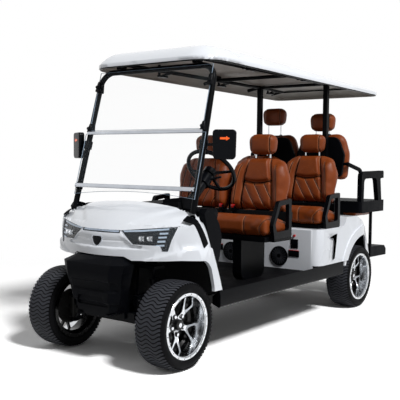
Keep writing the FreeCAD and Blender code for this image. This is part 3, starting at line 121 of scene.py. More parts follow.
def surfaceMaterial(name, look):  # soft colour and gloss variation, fine relief and one shader
    material, tree, place = startMaterial(name)
    blotch = addNode(tree, "ShaderNodeTexNoise",
                     {"Vector": place, "Scale": 1000 / look["blotchMm"], "Detail": 4.0, "Roughness": 0.6})
    colour = mixColours(tree, remap(tree, blotch, (0.3, 0.7)), *look["colours"])
    gloss = remap(tree, blotch, (0.3, 0.7), look["roughness"])
    if look.get("grain") == "cells":
        grain = addNode(tree, "ShaderNodeTexVoronoi", {"Vector": place, "Scale": 1000 / look["grainMm"]})
        height = grain.outputs["Distance"]
    else:
        height = addNode(tree, "ShaderNodeTexNoise",
                         {"Vector": place, "Scale": 1000 / look["grainMm"], "Detail": 2.0}).outputs[0]
    relief = addNode(tree, "ShaderNodeBump", {"Height": height, "Distance": look["depthMm"] / 1000,
                                              "Strength": look.get("relief", 1.0)})
    if "seamShadeColour" in look:
        line, thread = sewnSeams(tree, place)
        # the seams are darkened with painted shade
        colour = mixColours(tree, line, colour, look["seamShadeColour"])
        colour = mixColours(tree, thread, colour, look["threadColour"])
        sunk = mathNode(tree, "SUBTRACT", thread, mathNode(tree, "MULTIPLY", line, 3.0))
        relief = addNode(tree, "ShaderNodeBump", {"Height": sunk, "Distance": 0.0006, "Normal": relief})
    shader = addNode(tree, "ShaderNodeBsdfPrincipled",
                     {"Base Color": colour, "Roughness": gloss, "Normal": relief,
                      "Metallic": look.get("metallic", 0.0), "Specular IOR Level": look.get("specular", 0.5),
                      "Coat Weight": look.get("coat", 0.0), "Coat Roughness": look.get("coatRoughness", 0.03),
                      "Alpha": look.get("alpha", 1.0)})
    if "glow" in look:
        shader.inputs["Emission Color"].default_value = toLinear(look["glow"][0])
        shader.inputs["Emission Strength"].default_value = look["glow"][1]
    addNode(tree, "ShaderNodeOutputMaterial", {"Surface": shader})
    return material


# Materials

paints = {
    # moulded tread rubber: dark, dull, slightly dusty
    "tyreRubber": {"colours": ("#08080a", "#0d0d0f"), "blotchMm": 60, "roughness": (0.55, 0.7),
                   "grainMm": 1.5, "depthMm": 0.15, "specular": 0.06},
    # the running surface of the lugs, rubbed a little lighter and brightened further as painted light on the lug tops
    "rubbedAndLitRubber": {"colours": ("#303136", "#3c3e44"), "blotchMm": 25, "roughness": (0.6, 0.75),
                     "grainMm": 1.2, "depthMm": 0.2, "specular": 0.2},
    # cast aluminium, machined and polished on the face
    "polishedAluminium": {"colours": ("#d3d5d8", "#c2c5c9"), "blotchMm": 35, "roughness": (0.1, 0.2),
                          "grainMm": 0.8, "depthMm": 0.02, "metallic": 1.0},
    # gloss black enamel in the pockets of the wheels
    "blackEnamel": {"colours": ("#050506", "#08080a"), "blotchMm": 80, "roughness": (0.22, 0.32),
                    "grainMm": 2.0, "depthMm": 0.02, "coat": 0.25, "specular": 0.15},
    # cast iron, sooty and rough
    "castIron": {"colours": ("#1c1c1d", "#262523"), "blotchMm": 18, "roughness": (0.5, 0.7),
                 "grainMm": 1.2, "depthMm": 0.25, "metallic": 0.7},
    # powder-coated steel tube, satin with a light orange peel
    "powderCoatedSteel": {"colours": ("#040507", "#06070a"), "blotchMm": 150, "roughness": (0.3, 0.4),
                          "grainMm": 2.2, "depthMm": 0.04, "specular": 0.05},
    # gloss white painted ABS panels
    "paintedAbs": {"colours": ("#e9edf4", "#eef2f8"), "blotchMm": 500, "roughness": (0.26, 0.34),
                   "grainMm": 6.0, "depthMm": 0.012, "coat": 0.6, "coatRoughness": 0.05},
    # textured black polypropylene
    "texturedPolypropylene": {"colours": ("#050609", "#08090d"), "blotchMm": 90, "roughness": (0.42, 0.56),
                              "grain": "cells", "grainMm": 1.4, "depthMm": 0.1, "specular": 0.03},
    # smooth black ABS
    "blackAbs": {"colours": ("#05070b", "#080a0f"), "blotchMm": 200, "roughness": (0.22, 0.3),
                 "grainMm": 3.0, "depthMm": 0.02, "specular": 0.08},
    # cognac leatherette, soft satin with a fine pebble grain; the dark seam colour is painted shade in the seam
    # grooves, the thread colour is the stitching's own
    "leatherette": {"colours": ("#7a3712", "#884017"), "blotchMm": 70, "roughness": (0.4, 0.5),
                    "grain": "cells", "grainMm": 1.8, "depthMm": 0.12, "relief": 0.6, "specular": 0.24,
                    "seamShadeColour": "#180905", "threadColour": "#a87452"},
    # rubber floor mat with pimples
    "floorMat": {"colours": ("#08080a", "#0c0c0e"), "blotchMm": 120, "roughness": (0.55, 0.7),
                 "grain": "cells", "grainMm": 4.0, "depthMm": 0.5, "specular": 0.03},
    # chromed steel
    "chromedSteel": {"colours": ("#dcdee1", "#cfd2d6"), "blotchMm": 60, "roughness": (0.05, 0.1),
                     "grainMm": 2.0, "depthMm": 0.005, "metallic": 1.0},
    # satin anodised aluminium extrusion
    "anodisedAluminium": {"colours": ("#b9bdc3", "#a9adb4"), "blotchMm": 90, "roughness": (0.26, 0.36),
                          "grainMm": 0.9, "depthMm": 0.02, "metallic": 1.0},
    # clear acrylic of the windshield
    "clearAcrylic": {"colours": ("#aebcc4", "#b6c3ca"), "blotchMm": 300, "roughness": (0.02, 0.05),
                     "grainMm": 20, "depthMm": 0.002, "alpha": 0.02, "specular": 0.2},
    # sawn edge of the acrylic panes, painted pale as a painted highlight for the light it gathers
    "acrylicEdge": {"colours": ("#8fa3b8", "#a9bccf"), "blotchMm": 40, "roughness": (0.15, 0.3),
                    "grainMm": 2, "depthMm": 0.05, "alpha": 0.75},
    # clear polycarbonate over the lamps
    "lampCover": {"colours": ("#5b6670", "#66717b"), "blotchMm": 100, "roughness": (0.03, 0.06),
                  "grainMm": 10, "depthMm": 0.004, "alpha": 0.10},
    # frosted light guides, faintly lit
    "ledStrip": {"colours": ("#b9cbdd", "#9fb4ca"), "blotchMm": 9, "roughness": (0.2, 0.3),
                 "grainMm": 3, "depthMm": 0.05, "glow": ("#dfe9f7", 0.25)},
    # lit amber acrylic of the turn arrows
    "amberLens": {"colours": ("#e4500a", "#f06a14"), "blotchMm": 20, "roughness": (0.15, 0.25),
                  "grainMm": 2, "depthMm": 0.05, "glow": ("#f05a0a", 0.5)},
    # red moulded acrylic of the tail lamps
    "redLens": {"colours": ("#8c0f12", "#a31418"), "blotchMm": 30, "roughness": (0.1, 0.16),
                "grainMm": 3, "depthMm": 0.05, "coat": 0.8},
    # red ABS of the buckles, sockets and switches
    "redAbs": {"colours": ("#c4181a", "#a81214"), "blotchMm": 30, "roughness": (0.25, 0.35),
               "grainMm": 2, "depthMm": 0.02},
    # grey underside of the canopy
    "canopyLining": {"colours": ("#b5b0a8", "#a8a39b"), "blotchMm": 220, "roughness": (0.5, 0.62),
                     "grainMm": 3.0, "depthMm": 0.08},
}
materials = {name: surfaceMaterial(name, look) for name, look in paints.items()}
print("materials made:", len(materials))


# Making pieces

bevelSizes = {"segments": 2, "angle": 32}


def addObject(name, data):
    item = bpy.data.objects.new(name, data)
    bpy.context.scene.collection.objects.link(item)
    return item


def addPiece(name, bm, paintNames, replaces=(), smooth=35, recalc=True, body="chassis", edge=0.0):
    if recalc:
        facesOut(bm)
    mesh = readMesh(bm, name)
    for paint in paintNames:
        mesh.materials.append(materials[paint])
    mesh.shade_smooth()
    mesh.set_sharp_from_angle(angle=math.radians(smooth))
    piece = addObject(name, mesh)
    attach(piece, body)
    if replaces:
        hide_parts(*replaces)
    if edge:
        bevel = piece.modifiers.new("edges", "BEVEL")
        bevel.width, bevel.segments, bevel.limit_method = edge, bevelSizes["segments"], "ANGLE"
        bevel.angle_limit = math.radians(bevelSizes["angle"])
        bevel.harden_normals = True
    return piece


def fromMesh(mesh):
    bm = bmesh.new()
    bm.from_mesh(mesh)
    return bm


def copyOfNode(node):  # a merged copy of a node's mesh
    bm = fromMesh(nodes[node].data)
    bmesh.ops.remove_doubles(bm, verts=bm.verts, dist=0.00002)
    bmesh.ops.dissolve_limit(bm, angle_limit=math.radians(0.6), verts=bm.verts, edges=bm.edges)
    return bm


def dressNode(node, bm, paint, edge):  # a piece that stands for one node, on its body
    addPiece(node + "Dressed", bm, [paint], [node], 35, False, bodyOfNode[node], edge)


def faceFrom(bm, points):
    return bm.faces.new([bm.verts.new(p) for p in points])


def addMesh(bm, part, place=None):  # joins a finished bmesh into another, moved to its place
    if place is not None:
        bmesh.ops.transform(part, matrix=place, verts=part.verts)
    mesh = readMesh(part, "joined")
    bm.from_mesh(mesh)
    bpy.data.meshes.remove(mesh)


def paintFaces(verts, material):
    for vert in verts:
        for face in vert.link_faces:
            face.material_index = material


def steps(start, end, count):  # evenly spaced values, both ends included
    return [start + (end - start) * i / count for i in range(count + 1)]


def roundOff(bm, geom, width, segments=2, affect="EDGES"):
    bmesh.ops.bevel(bm, geom=geom, offset=width, offset_type="OFFSET", affect=affect, segments=segments, profile=0.5,
                    material=-1)


def startBox(size, place=Matrix()):
    bm = bmesh.new()
    bmesh.ops.create_cube(bm, size=1.0, matrix=place @ Matrix.Diagonal((*size, 1)))
    return bm


def addCone(bm, place, radii, depth, segments, material=0, caps=True):
    made = bmesh.ops.create_cone(bm, cap_ends=caps, segments=segments, radius1=radii[0], radius2=radii[1],
                                 depth=depth, matrix=place)
    paintFaces(made["verts"], material)


def addBox(target, place, size, edge=0.0, material=0):  # joins a box, with rounded edges where a width is given
    box = startBox(size, place)
    if edge:
        roundOff(box, box.edges[:], edge)
    paintFaces(box.verts, material)
    addMesh(target, box)


def giveWall(bm, depth):
    bmesh.ops.solidify(bm, geom=bm.faces[:], thickness=depth)


def facesOut(bm):
    bmesh.ops.recalc_face_normals(bm, faces=bm.faces)


def relax(bm, rounds):
    for turn in range(rounds):
        bmesh.ops.smooth_vert(bm, verts=bm.verts, factor=0.5, use_axis_x=True, use_axis_y=True, use_axis_z=True)


def pushOut(bm, faces, vec):  # extrudes faces and moves the new points
    made = bmesh.ops.extrude_face_region(bm, geom=faces)["geom"]
    bmesh.ops.translate(bm, vec=vec, verts=[item for item in made if isinstance(item, bmesh.types.BMVert)])


def turnAt(spot, angle, axis):  # place and turn in degrees
    return Matrix.Translation(spot) @ Matrix.Rotation(math.radians(angle), 4, axis)


def readMesh(bm, name):  # the mesh of a finished bmesh
    mesh = bpy.data.meshes.new(name)
    bm.to_mesh(mesh)
    bm.free()
    return mesh


# Wheels

wheelSizes = {"axleY": (-1.45, 0.95), "trackHalf": 0.449, "radius": 0.260, "pitches": 66,
              "waveHigh": 0.010, "waveLong": 0.090, "lugWide": 0.0182, "grooveDeep": 0.008, "treadHalf": 0.094,
              "slices": 24, "crown": 0.0100}


def treadRadius(x):  # crowned tread that rounds off at the shoulders
    return wheelSizes["radius"] - wheelSizes["crown"] * min(1.0, abs(x) / wheelSizes["treadHalf"]) ** 4


def spinProfile(bm, points, count, closed=True, material=0):  # turns a line of (x, radius) points about the X axis
    ring = [bm.verts.new((x, 0, r)) for x, r in points]
    edges = [bm.edges.new(pair) for pair in zip(ring, ring[1:])]
    if closed:
        edges.append(bm.edges.new((ring[-1], ring[0])))
    before = set(bm.faces)
    bmesh.ops.spin(bm, geom=ring + edges, cent=(0, 0, 0), axis=(1, 0, 0), angle=2 * math.pi, steps=count,
                   use_merge=True)
    made = [face for face in bm.faces if face not in before]
    for face in made:
        face.material_index = material
    return made


def buildTyre():
    bm = bmesh.new()
    half = [(0.0, 0.2530), (0.060, 0.2525), (0.080, 0.2490), (0.0915, 0.2435), (0.0975, 0.2360), (0.1010, 0.2280),
            (0.1022, 0.2200), (0.1015, 0.2120), (0.0990, 0.2060), (0.0985, 0.2045), (0.0965, 0.2035),
            (0.0945, 0.2000), (0.0890, 0.1960), (0.0885, 0.1790)]
    spinProfile(bm, half + [(-x, r) for x, r in reversed(half[1:])], 90)
    lug = bmesh.new()
    rows = []
    for x in steps(-wheelSizes["treadHalf"], wheelSizes["treadHalf"], wheelSizes["slices"]):
        shift = wheelSizes["waveHigh"] * math.cos(2 * math.pi * x / wheelSizes["waveLong"])
        taper = 1.0 - 0.25 * (abs(x) / wheelSizes["treadHalf"]) ** 6
        rows.append([lug.verts.new((x, shift + side * wheelSizes["lugWide"] * taper / 2, 0)) for side in (-1, 1)])
    for a, b in zip(rows, rows[1:]):
        lug.faces.new((a[0], a[1], b[1], b[0]))
    pushOut(lug, lug.faces[:], (0, 0, 1))
    for vert in lug.verts:  # wrapped round the tyre; z tells the top from the foot
        high = treadRadius(vert.co.x) - (0.0 if vert.co.z > 0.5 else wheelSizes["grooveDeep"] + 0.003)
        angle = vert.co.y / wheelSizes["radius"]
        vert.co = Vector((vert.co.x, high * math.sin(angle), high * math.cos(angle)))
    lug.normal_update()
    for face in lug.faces:
        # the lug tops take the lighter rubber, which carries painted light
        face.material_index = 1 if abs(face.normal.z) > 0.9 and face.calc_center_median().z > 0.245 else 0
    bmesh.ops.spin(lug, geom=lug.verts[:] + lug.edges[:] + lug.faces[:], cent=(0, 0, 0), axis=(1, 0, 0),
                   angle=2 * math.pi * (wheelSizes["pitches"] - 1) / wheelSizes["pitches"],
                   steps=wheelSizes["pitches"] - 1, use_duplicate=True)
    facesOut(lug)
    addMesh(bm, lug)
    return bm


def turnedAbout(angle):
    return Matrix.Rotation(math.radians(angle), 4, "X")


rimSizes = {"spokes": 5, "firstSpoke": 48, "rivets": 20, "nutCircle": 0.057, "faceX": 0.021, "thick": 0.019,
            "dish": 0.010, "capTop": 0.043}


def buildRim():
    bm = bmesh.new()
    barrel = [(-0.0970, 0.1720), (-0.0970, 0.1950), (-0.0905, 0.1950), (-0.0885, 0.1785), (-0.0740, 0.1780),
              (-0.0620, 0.1600), (-0.0260, 0.1600), (-0.0140, 0.1780), (0.0885, 0.1785), (0.0890, 0.1935),
              (0.0905, 0.1950), (0.0950, 0.1950), (0.0970, 0.1932), (0.0970, 0.1800), (0.0962, 0.1786),
              (0.0925, 0.1780), (0.0900, 0.1752), (0.0240, 0.1688), (0.0180, 0.1672), (-0.0100, 0.1672),
              (-0.0230, 0.1540), (-0.0660, 0.1540), (-0.0780, 0.1720)]
    for face in spinProfile(bm, barrel, 96):
        face.material_index = 0 if face.calc_center_median().x > 0.019 else 1
    # forked spokes, polished on the face and black on the flanks
    fork = [(0.030, -0.0230), (0.060, -0.0190), (0.078, -0.0165), (0.096, -0.0215), (0.140, -0.0410),
            (0.1590, -0.0515), (0.1640, -0.0370), (0.136, -0.0250), (0.110, -0.0085), (0.104, 0.0)]
    outline = fork + [(r, -t) for r, t in reversed(fork[:-1])]
    spokeTurns = [turnedAbout(rimSizes["firstSpoke"] + 360 / rimSizes["spokes"] * i) for i in range(rimSizes["spokes"])]
    for turn in spokeTurns:
        spoke = bmesh.new()
        top = faceFrom(spoke, [(rimSizes["faceX"], r, t) for r, t in outline])
        pushOut(spoke, [top], (-rimSizes["thick"], 0, 0))
        for vert in spoke.verts:  # dished towards the hub
            radius = math.hypot(vert.co.y, vert.co.z)
            vert.co.x -= rimSizes["dish"] * max(0.0, 1 - (radius - 0.03) / 0.05)
        facesOut(spoke)
        sides = [e for e in spoke.edges if any(f.normal.x > 0.7 for f in e.link_faces)
                 and any(f.normal.x < 0.7 for f in e.link_faces)]
        roundOff(spoke, sides, 0.0022)
        for face in spoke.faces:
            face.material_index = 0 if face.normal.x > 0.25 else 1
        bmesh.ops.triangulate(spoke, faces=[f for f in spoke.faces if len(f.verts) > 4])
        addMesh(bm, spoke, turn)
    # hub with its black cap, nuts in their pockets and the rivets round the lip
    face = rimSizes["faceX"]
    spinProfile(bm, [(-0.012, 0.0), (-0.012, 0.043), (-0.004, 0.052), (face - 0.011, 0.052), (face - 0.0085, 0.048),
                     (face - 0.0080, 0.034), (0.034, 0.0325), (0.040, 0.0300), (rimSizes["capTop"], 0.023),
                     (rimSizes["capTop"], 0.0)], 48, closed=False, material=1)
    spinProfile(bm, [(0.0425, 0.0), (0.0438, 0.004), (0.0438, 0.0120), (0.0425, 0.0150)], 40, closed=False, material=2)
    for turn in spokeTurns:
        seat = turn @ turnAt((0.0160, rimSizes["nutCircle"], 0), 90, "Y")
        addCone(bm, seat, (0.0150, 0.0150), 0.010, 24, 1)
        addCone(bm, seat, (0.0112, 0.0095), 0.028, 6, 2)
    for i in range(rimSizes["rivets"]):
        turn = turnedAbout(360 / rimSizes["rivets"] * (i + 0.5))
        addCone(bm, turn @ turnAt((0.0968, 0.1868, 0), 90, "Y"), (0.0036, 0.0030), 0.0030, 8, 1)
    bmesh.ops.remove_doubles(bm, verts=bm.verts, dist=0.00001)
    return bm


for place, side, axle in (("FrontLeft", 1, 0), ("FrontRight", -1, 0), ("RearLeft", 1, 1), ("RearRight", -1, 1)):
    suffix = place[0].lower() + place[1:]
    node = suffix.replace("Left", "_left").replace("Right", "_right")
    turn = Matrix.Translation((side * wheelSizes["trackHalf"], wheelSizes["axleY"][axle], wheelSizes["radius"]))
    turn = turn @ Matrix.Diagonal((side, 1, 1, 1))
    for label, builder, paintNames, slot in (("tyre", buildTyre, ["tyreRubber", "rubbedAndLitRubber"], "tyre"),
                                             ("rim", buildRim, ["polishedAluminium", "blackEnamel", "chromedSteel"],
                                              "alloy")):
        bm = builder()
        bmesh.ops.transform(bm, matrix=turn, verts=bm.verts)
        addPiece(label + place, bm, paintNames, [label + "_" + node], 30, body="wheel_" + node)
print("wheels made")


# Padded pieces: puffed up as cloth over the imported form, then sewn

padSizes = {"shrink": 0.004, "pressure": 4.0, "frames": 20, "rounds": 3}


def seenMesh(piece):  # the mesh with its modifiers
    graph = bpy.context.evaluated_depsgraph_get()
    return bpy.data.meshes.new_from_object(piece.evaluated_get(graph))


def puffedPad(bm, voxel, mostMove, after=3):  # even mesh, blown up as cloth by mostMove at most, then subdivided
    pad = addObject("pad", readMesh(bm, "pad"))
    remesh = pad.modifiers.new("even", "REMESH")
    remesh.mode = "VOXEL"
    remesh.voxel_size = voxel
    even = seenMesh(pad)
    pad.modifiers.clear()
    bm = fromMesh(even)
    relax(bm, padSizes["rounds"])
    bm.normal_update()
    for vert in bm.verts:
        vert.co -= vert.normal * padSizes["shrink"]
    bm.to_mesh(even)
    bm.free()
    pad.data = even
    before = [vert.co.copy() for vert in even.vertices]
    cloth = pad.modifiers.new("cloth", "CLOTH")
    cloth.settings.use_pressure = True
    cloth.settings.uniform_pressure_force = padSizes["pressure"]
    cloth.settings.effector_weights.gravity = 0.0
    cloth.point_cache.frame_end = padSizes["frames"]
    for frameNumber in range(1, padSizes["frames"] + 1):
        bpy.context.scene.frame_set(frameNumber)
    blown = seenMesh(pad)
    pad.modifiers.clear()
    bpy.context.scene.frame_set(1)
    for vert, start, end in zip(even.vertices, before, blown.vertices):
        move = end.co - start
        vert.co = start + move * min(1.0, mostMove / max(move.length, 1e-6))
    bm = fromMesh(even)
    relax(bm, after)
    bm.to_mesh(even)
    bm.free()
    finer = pad.modifiers.new("finer", "SUBSURF")
    finer.levels = finer.render_levels = 1
    done = seenMesh(pad)
    bpy.data.objects.remove(pad)
    bm = fromMesh(done)
    for label in ("seamOne", "seamTwo", "quilt", "quilted"):
        layer = bm.verts.layers.float.new(label)
        for vert in bm.verts:
            vert[layer] = 0.0 if label.startswith("quilt") else 1.0
    return bm


def bump(distance, width):  # 1 on a line, fading out to its sides
    return math.exp(-(distance / width) ** 2)


def clamped(share):
    return min(1.0, max(0.0, share))


def blend(value, start, end):  # 0 before start, 1 after end, smooth between
    share = clamped((value - start) / (end - start))
    return share * share * (3 - 2 * share)


def fillRoom(bm, low, high):  # stretches a pad to the room of its packed form
    ends = [(min(v.co[axis] for v in bm.verts), max(v.co[axis] for v in bm.verts)) for axis in range(3)]
    for vert in bm.verts:
        for axis, (start, end) in enumerate(ends):
            vert.co[axis] = low[axis] + (vert.co[axis] - start) / (end - start) * (high[axis] - low[axis])
    return bm


def keepInside(bm, low, high):  # holds a pad in the room of its packed form
    for vert in bm.verts:
        for axis in range(3):
            vert.co[axis] = min(max(vert.co[axis], low[axis]), high[axis])


def padPattern(bm, sew, room, limits=None):  # fitted to its room, sewn and kept within the limits
    bm = sew(fillRoom(bm, *room))
    if limits:
        keepInside(bm, *limits)
    return readMesh(bm, "pattern")


def cutOut(node, test):  # the part of a node's copy whose points pass the test
    bm = copyOfNode(node)
    bmesh.ops.delete(bm, geom=[v for v in bm.verts if not test(v.co)], context="VERTS")
    return bm


def addPad(name, bm, node):
    piece = addPiece(name, bm, ["leatherette"], [node], 60, body=bodyOfNode[node])


def movedCopy(source, matrix):
    bm = fromMesh(source)
    bmesh.ops.transform(bm, matrix=matrix, verts=bm.verts)
    return bm


def addPair(label, pattern, node, step=Matrix()):  # the left one and its mirror image
    addPad(label + "Left", movedCopy(pattern, step), node)
    addPad(label + "Right", movedCopy(pattern, step @ mirrorX), node)


rowStep = Matrix.Translation((0, 0.780, 0.028))  # second row from the first
mirrorX = Matrix.Diagonal((-1, 1, 1, 1))

frontBack = {"middleX": 0.247, "faceY": -0.245, "footZ": 0.869, "lean": 8.0, "way": -1,
             "panelHalf": ((0.0, 0.140), (0.21, 0.120), (0.372, 0.088)), "smileAt": 0.215}
rearBack = {"middleX": 0.235, "faceY": 0.905, "footZ": 1.080, "lean": 0.0, "way": 1,
            "panelHalf": ((0.0, 0.145), (0.21, 0.128), (0.372, 0.095)), "smileAt": 0.222}
quiltSizes = {"turn": 31.5, "start": 0.0035, "puff": 0.0075, "smileSag": 0.022, "smileHalf": 0.125, "ribAway": 0.046,
              "ribFoot": 0.02, "ribHead": 0.33, "groove": 0.019, "tuck": 0.012, "crown": 0.015}


def panelHalf(points, v):  # half width of the middle panel at a height
    for (v0, h0), (v1, h1) in zip(points, points[1:]):
        if v <= v1:
            return h0 + (h1 - h0) * max(0.0, v - v0) / (v1 - v0)
    return points[-1][1]


def sewBack(bm, back):  # upper panel, quilted lower panel and bolsters with their seams
    lean, turn = math.radians(back["lean"]), math.radians(quiltSizes["turn"])
    outward = Vector((0, back["way"] * math.cos(lean), math.sin(lean)))
    layers = {label: bm.verts.layers.float[label] for label in ("seamOne", "seamTwo", "quilt", "quilted")}
    bm.normal_update()
    for vert in bm.verts:
        u = vert.co.x - back["middleX"]
        v = (vert.co.y - back["faceY"]) * math.sin(lean) + (vert.co.z - back["footZ"]) * math.cos(lean)
        facing = vert.normal.dot(outward)
        half = panelHalf(back["panelHalf"], v)
        side = abs(u) - half
        sag = quiltSizes["smileSag"] * (1 - min(1.0, (u / quiltSizes["smileHalf"]) ** 2))
        smile = v - (back["smileAt"] - sag)
        across = u * math.cos(turn) + v * math.sin(turn) - quiltSizes["start"]
        rib = abs(u) - (half + quiltSizes["ribAway"])
        ribbed = quiltSizes["ribFoot"] < v < quiltSizes["ribHead"]
        sink = quiltSizes["groove"] * bump(side + 0.003, 0.011)
        if side < 0 and smile > 0:
            sink -= quiltSizes["crown"] * (1 - bump(smile, 0.016)) * min(1.0, -side / 0.02)
        elif side < 0:
            ridge = abs(math.sin(math.pi * across / seamSizes["quiltPitch"])) ** 0.6
            sink += 0.003 - quiltSizes["puff"] * ridge * min(1.0, -side / 0.016) * min(1.0, -smile / 0.012)
        if side < 0:
            sink += quiltSizes["tuck"] * bump(smile + 0.005, 0.009)
        if ribbed:
            sink += 0.003 * bump(rib, 0.005)
        vert.co -= outward * sink * clamped(facing * 2.5)
        if facing > 0.15:
            vert[layers["seamOne"]] = side if side > 0 or abs(side) < abs(smile) else smile
            vert[layers["seamTwo"]] = rib if ribbed else 1.0
            vert[layers["quilt"]] = across
            vert[layers["quilted"]] = 1.0 if side < -0.003 and smile < -0.003 else 0.0
    return bm


pattern = padPattern(puffedPad(cutOut("front_backs", lambda co: co.x > 0), 0.009, 0.020, after=14),
                     lambda bm: sewBack(bm, frontBack), ((0.010, -0.276, 0.853), (0.486, -0.112, 1.240)),
                     ((0.0075, -0.290, 0.850), (0.490, -0.108, 1.242)))
addPair("frontBack", pattern, "front_backs")
addPair("secondBack", pattern, "second_backs", rowStep)
print("seat backs sewn")

cushionSizes = {"middleX": 0.2675, "seamSide": 0.073, "endSeam": 0.473, "sink": 0.034}


def sewCushion(bm):  # a seam from the front over the top, the end panel's seam, and a rear that sinks
    layers = {label: bm.verts.layers.float[label] for label in ("seamOne", "seamTwo")}
    bm.normal_update()
    for vert in bm.verts:
        middle = vert.co.x - cushionSizes["middleX"] - cushionSizes["seamSide"]
        end = vert.co.x - cushionSizes["endSeam"] - 0.75 * max(0.0, vert.co.z - 0.770)
        vert[layers["seamOne"]], vert[layers["seamTwo"]] = middle, end
        seen = min(1.0, max(0.0, -vert.normal.y) + max(0.0, vert.normal.z))
        vert.co -= vert.normal * seen * (0.0055 * bump(middle, 0.007) + 0.0045 * bump(end, 0.006))
    for vert in bm.verts:
        vert.co.z -= cushionSizes["sink"] * blend(vert.co.y, -0.450, -0.275) * blend(vert.co.z, 0.720, 0.800)
    return bm


pattern = padPattern(puffedPad(cutOut("front_cushions", lambda co: co.x > 0), 0.010, 0.022), sewCushion,
                     ((0.0075, -0.578, 0.7062), (0.5300, -0.244, 0.845)),
                     ((0.0075, -0.580, 0.7062), (0.5300, -0.243, 0.846)))
addPair("frontCushion", pattern, "front_cushions")
addPair("secondCushion", pattern, "second_cushions", rowStep)
pattern = padPattern(puffedPad(cutOut("rear_backs", lambda co: co.x > 0), 0.010, 0.018, after=10),
                     lambda bm: sewBack(bm, rearBack), ((0.004, 0.8106, 1.074), (0.466, 0.912, 1.455)),
                     ((0.004, 0.8104, 1.070), (0.468, 0.925, 1.458)))
addPair("rearBack", pattern, "rear_backs")

deckSeams = (-0.145, 0.145)


def sewDeckPad(bm):  # three sewn fields on the side that becomes the seat
    layer = bm.verts.layers.float["seamOne"]
    for vert in bm.verts:
        away = min((vert.co.x - x for x in deckSeams), key=abs)
        vert[layer] = away
        if vert.normal.z < 0.3:
            vert.co -= vert.normal * 0.006 * bump(away, 0.009)
    return bm


pattern = padPattern(puffedPad(copyOfNode("deck_cushion"), 0.012, 0.018), sewDeckPad,
                     ((-0.433, 1.096, 0.745), (0.433, 1.490, 0.8495)), ((-0.436, 1.093, 0.740), (0.436, 1.493, 0.8495)))
addPad("deckPad", movedCopy(pattern, Matrix()), "deck_cushion")
print("cushions sewn")

# Headrests on their posts: middle of the underside on the left, and the height of the posts' foot

headrestSizes = {"wide": 0.206, "deep": 0.108, "tall": 0.146, "postX": 0.062, "postRadius": 0.0058, "edge": 0.043,
                 "seamAt": 0.078, "crown": 0.026, "drop": 0.012,
                 "places": {"frontRest": (0.247, -0.1526, 1.2697, 1.2345),
                            "secondRest": (0.247, 0.6274, 1.2977, 1.2625),
                            "rearRest": (0.235, 0.829, 1.4800, 1.4475)}, "pulledUp": {"rearRestRight": 0.058}}


def headrestStart():  # a block with rounded edges, narrower at the foot and domed on top
    bm = startBox([headrestSizes[label] for label in ("wide", "deep", "tall")])
    roundOff(bm, bm.edges[:], headrestSizes["edge"], 6)
    for vert in bm.verts:
        low = 0.5 - vert.co.z / headrestSizes["tall"]
        vert.co.x *= 1.0 - 0.14 * low ** 2
        dome = 1 - (2 * vert.co.x / headrestSizes["wide"]) ** 2
        vert.co.z += headrestSizes["crown"] * dome * (1 - low) - headrestSizes["drop"]
    return bm


def sewHeadrest(bm):  # end panels
    layer = bm.verts.layers.float["seamOne"]
    bm.normal_update()
    for vert in bm.verts:
        away = abs(vert.co.x) - headrestSizes["seamAt"]
        vert[layer] = away
        vert.co -= vert.normal * 0.004 * bump(away, 0.005)
    return bm


def postPair(foot, top):  # two chromed posts with their guides
    bm = bmesh.new()
    radius = headrestSizes["postRadius"]
    guide = [(foot + high, r) for high, r in ((0.001, 0.006), (0.001, 0.0125), (0.006, 0.0125), (0.009, 0.0085),
                                              (0.009, 0.006))]
    for side in (-1, 1):
        turn = turnAt((side * headrestSizes["postX"], 0, 0), -90, "Y")
        for material, points in enumerate(([(foot, 0.0), (foot, radius), (top, radius), (top, 0.0)], guide)):
            post = bmesh.new()
            spinProfile(post, points, 20, closed=False, material=material)
            addMesh(bm, post, turn)
    return bm


pattern = padPattern(puffedPad(headrestStart(), 0.008, 0.010), sewHeadrest,
                     ((-0.108, -0.056, -0.073), (0.108, 0.056, 0.078)))
for (row, (x, y, z, foot)), side in itertools.product(headrestSizes["places"].items(), ("Left", "Right")):
    label = row + side
    x, z = x if side == "Left" else -x, z + headrestSizes["pulledUp"].get(label, 0.0)
    addPad(label, movedCopy(pattern, Matrix.Translation((x, y, z + headrestSizes["tall"] / 2 - 0.002))), "headrests")
    bm = postPair(foot - z, 0.05)
    bmesh.ops.transform(bm, matrix=Matrix.Translation((x, y, z)), verts=bm.verts)
    addPiece(label + "Posts", bm, ["chromedSteel", "blackAbs"], [])
print("headrests sewn")


# Front body: hood with its raised middle, drawn-in nose, lamps and light bar

noseSizes = {"drawIn": 0.024, "ledge": 0.702, "ledgeHalf": 0.010, "brow": 0.784, "hoodRise": 0.011, "lensDeep": 0.014,
             "top": ((-0.56, -1.80, 0.80), (0.56, -1.25, 1.0)), "face": ((-0.36, -1.80, 0.60), (0.36, -1.45, 0.86))}


def uncapped(node):  # a copy of a node whose large caps are triangles
    bm = copyOfNode(node)
    bmesh.ops.triangulate(bm, faces=[f for f in bm.faces if len(f.verts) > 4])
    return bm


def cutGrid(bm, axis, values, low, high):  # extra edges across the faces of a region
    normal = Vector((0, 0, 0))
    normal[axis] = 1
    for value in values:
        spot = Vector((0, 0, 0))
        spot[axis] = value
        faces = [f for f in bm.faces if all(low[k] <= f.calc_center_median()[k] <= high[k] for k in range(3))]
        geom = set(faces) | {e for f in faces for e in f.edges} | {v for f in faces for v in f.verts}
        bmesh.ops.bisect_plane(bm, geom=list(geom), dist=0.0001, plane_co=spot, plane_no=normal)


def noseEdge(z):  # half width of the drawn-in panel between the lamps
    return 0.150 + 0.088 * blend(z, 0.786, 0.722) if z > 0.722 else 0.238 + 0.10 * blend(z, 0.722, 0.700)


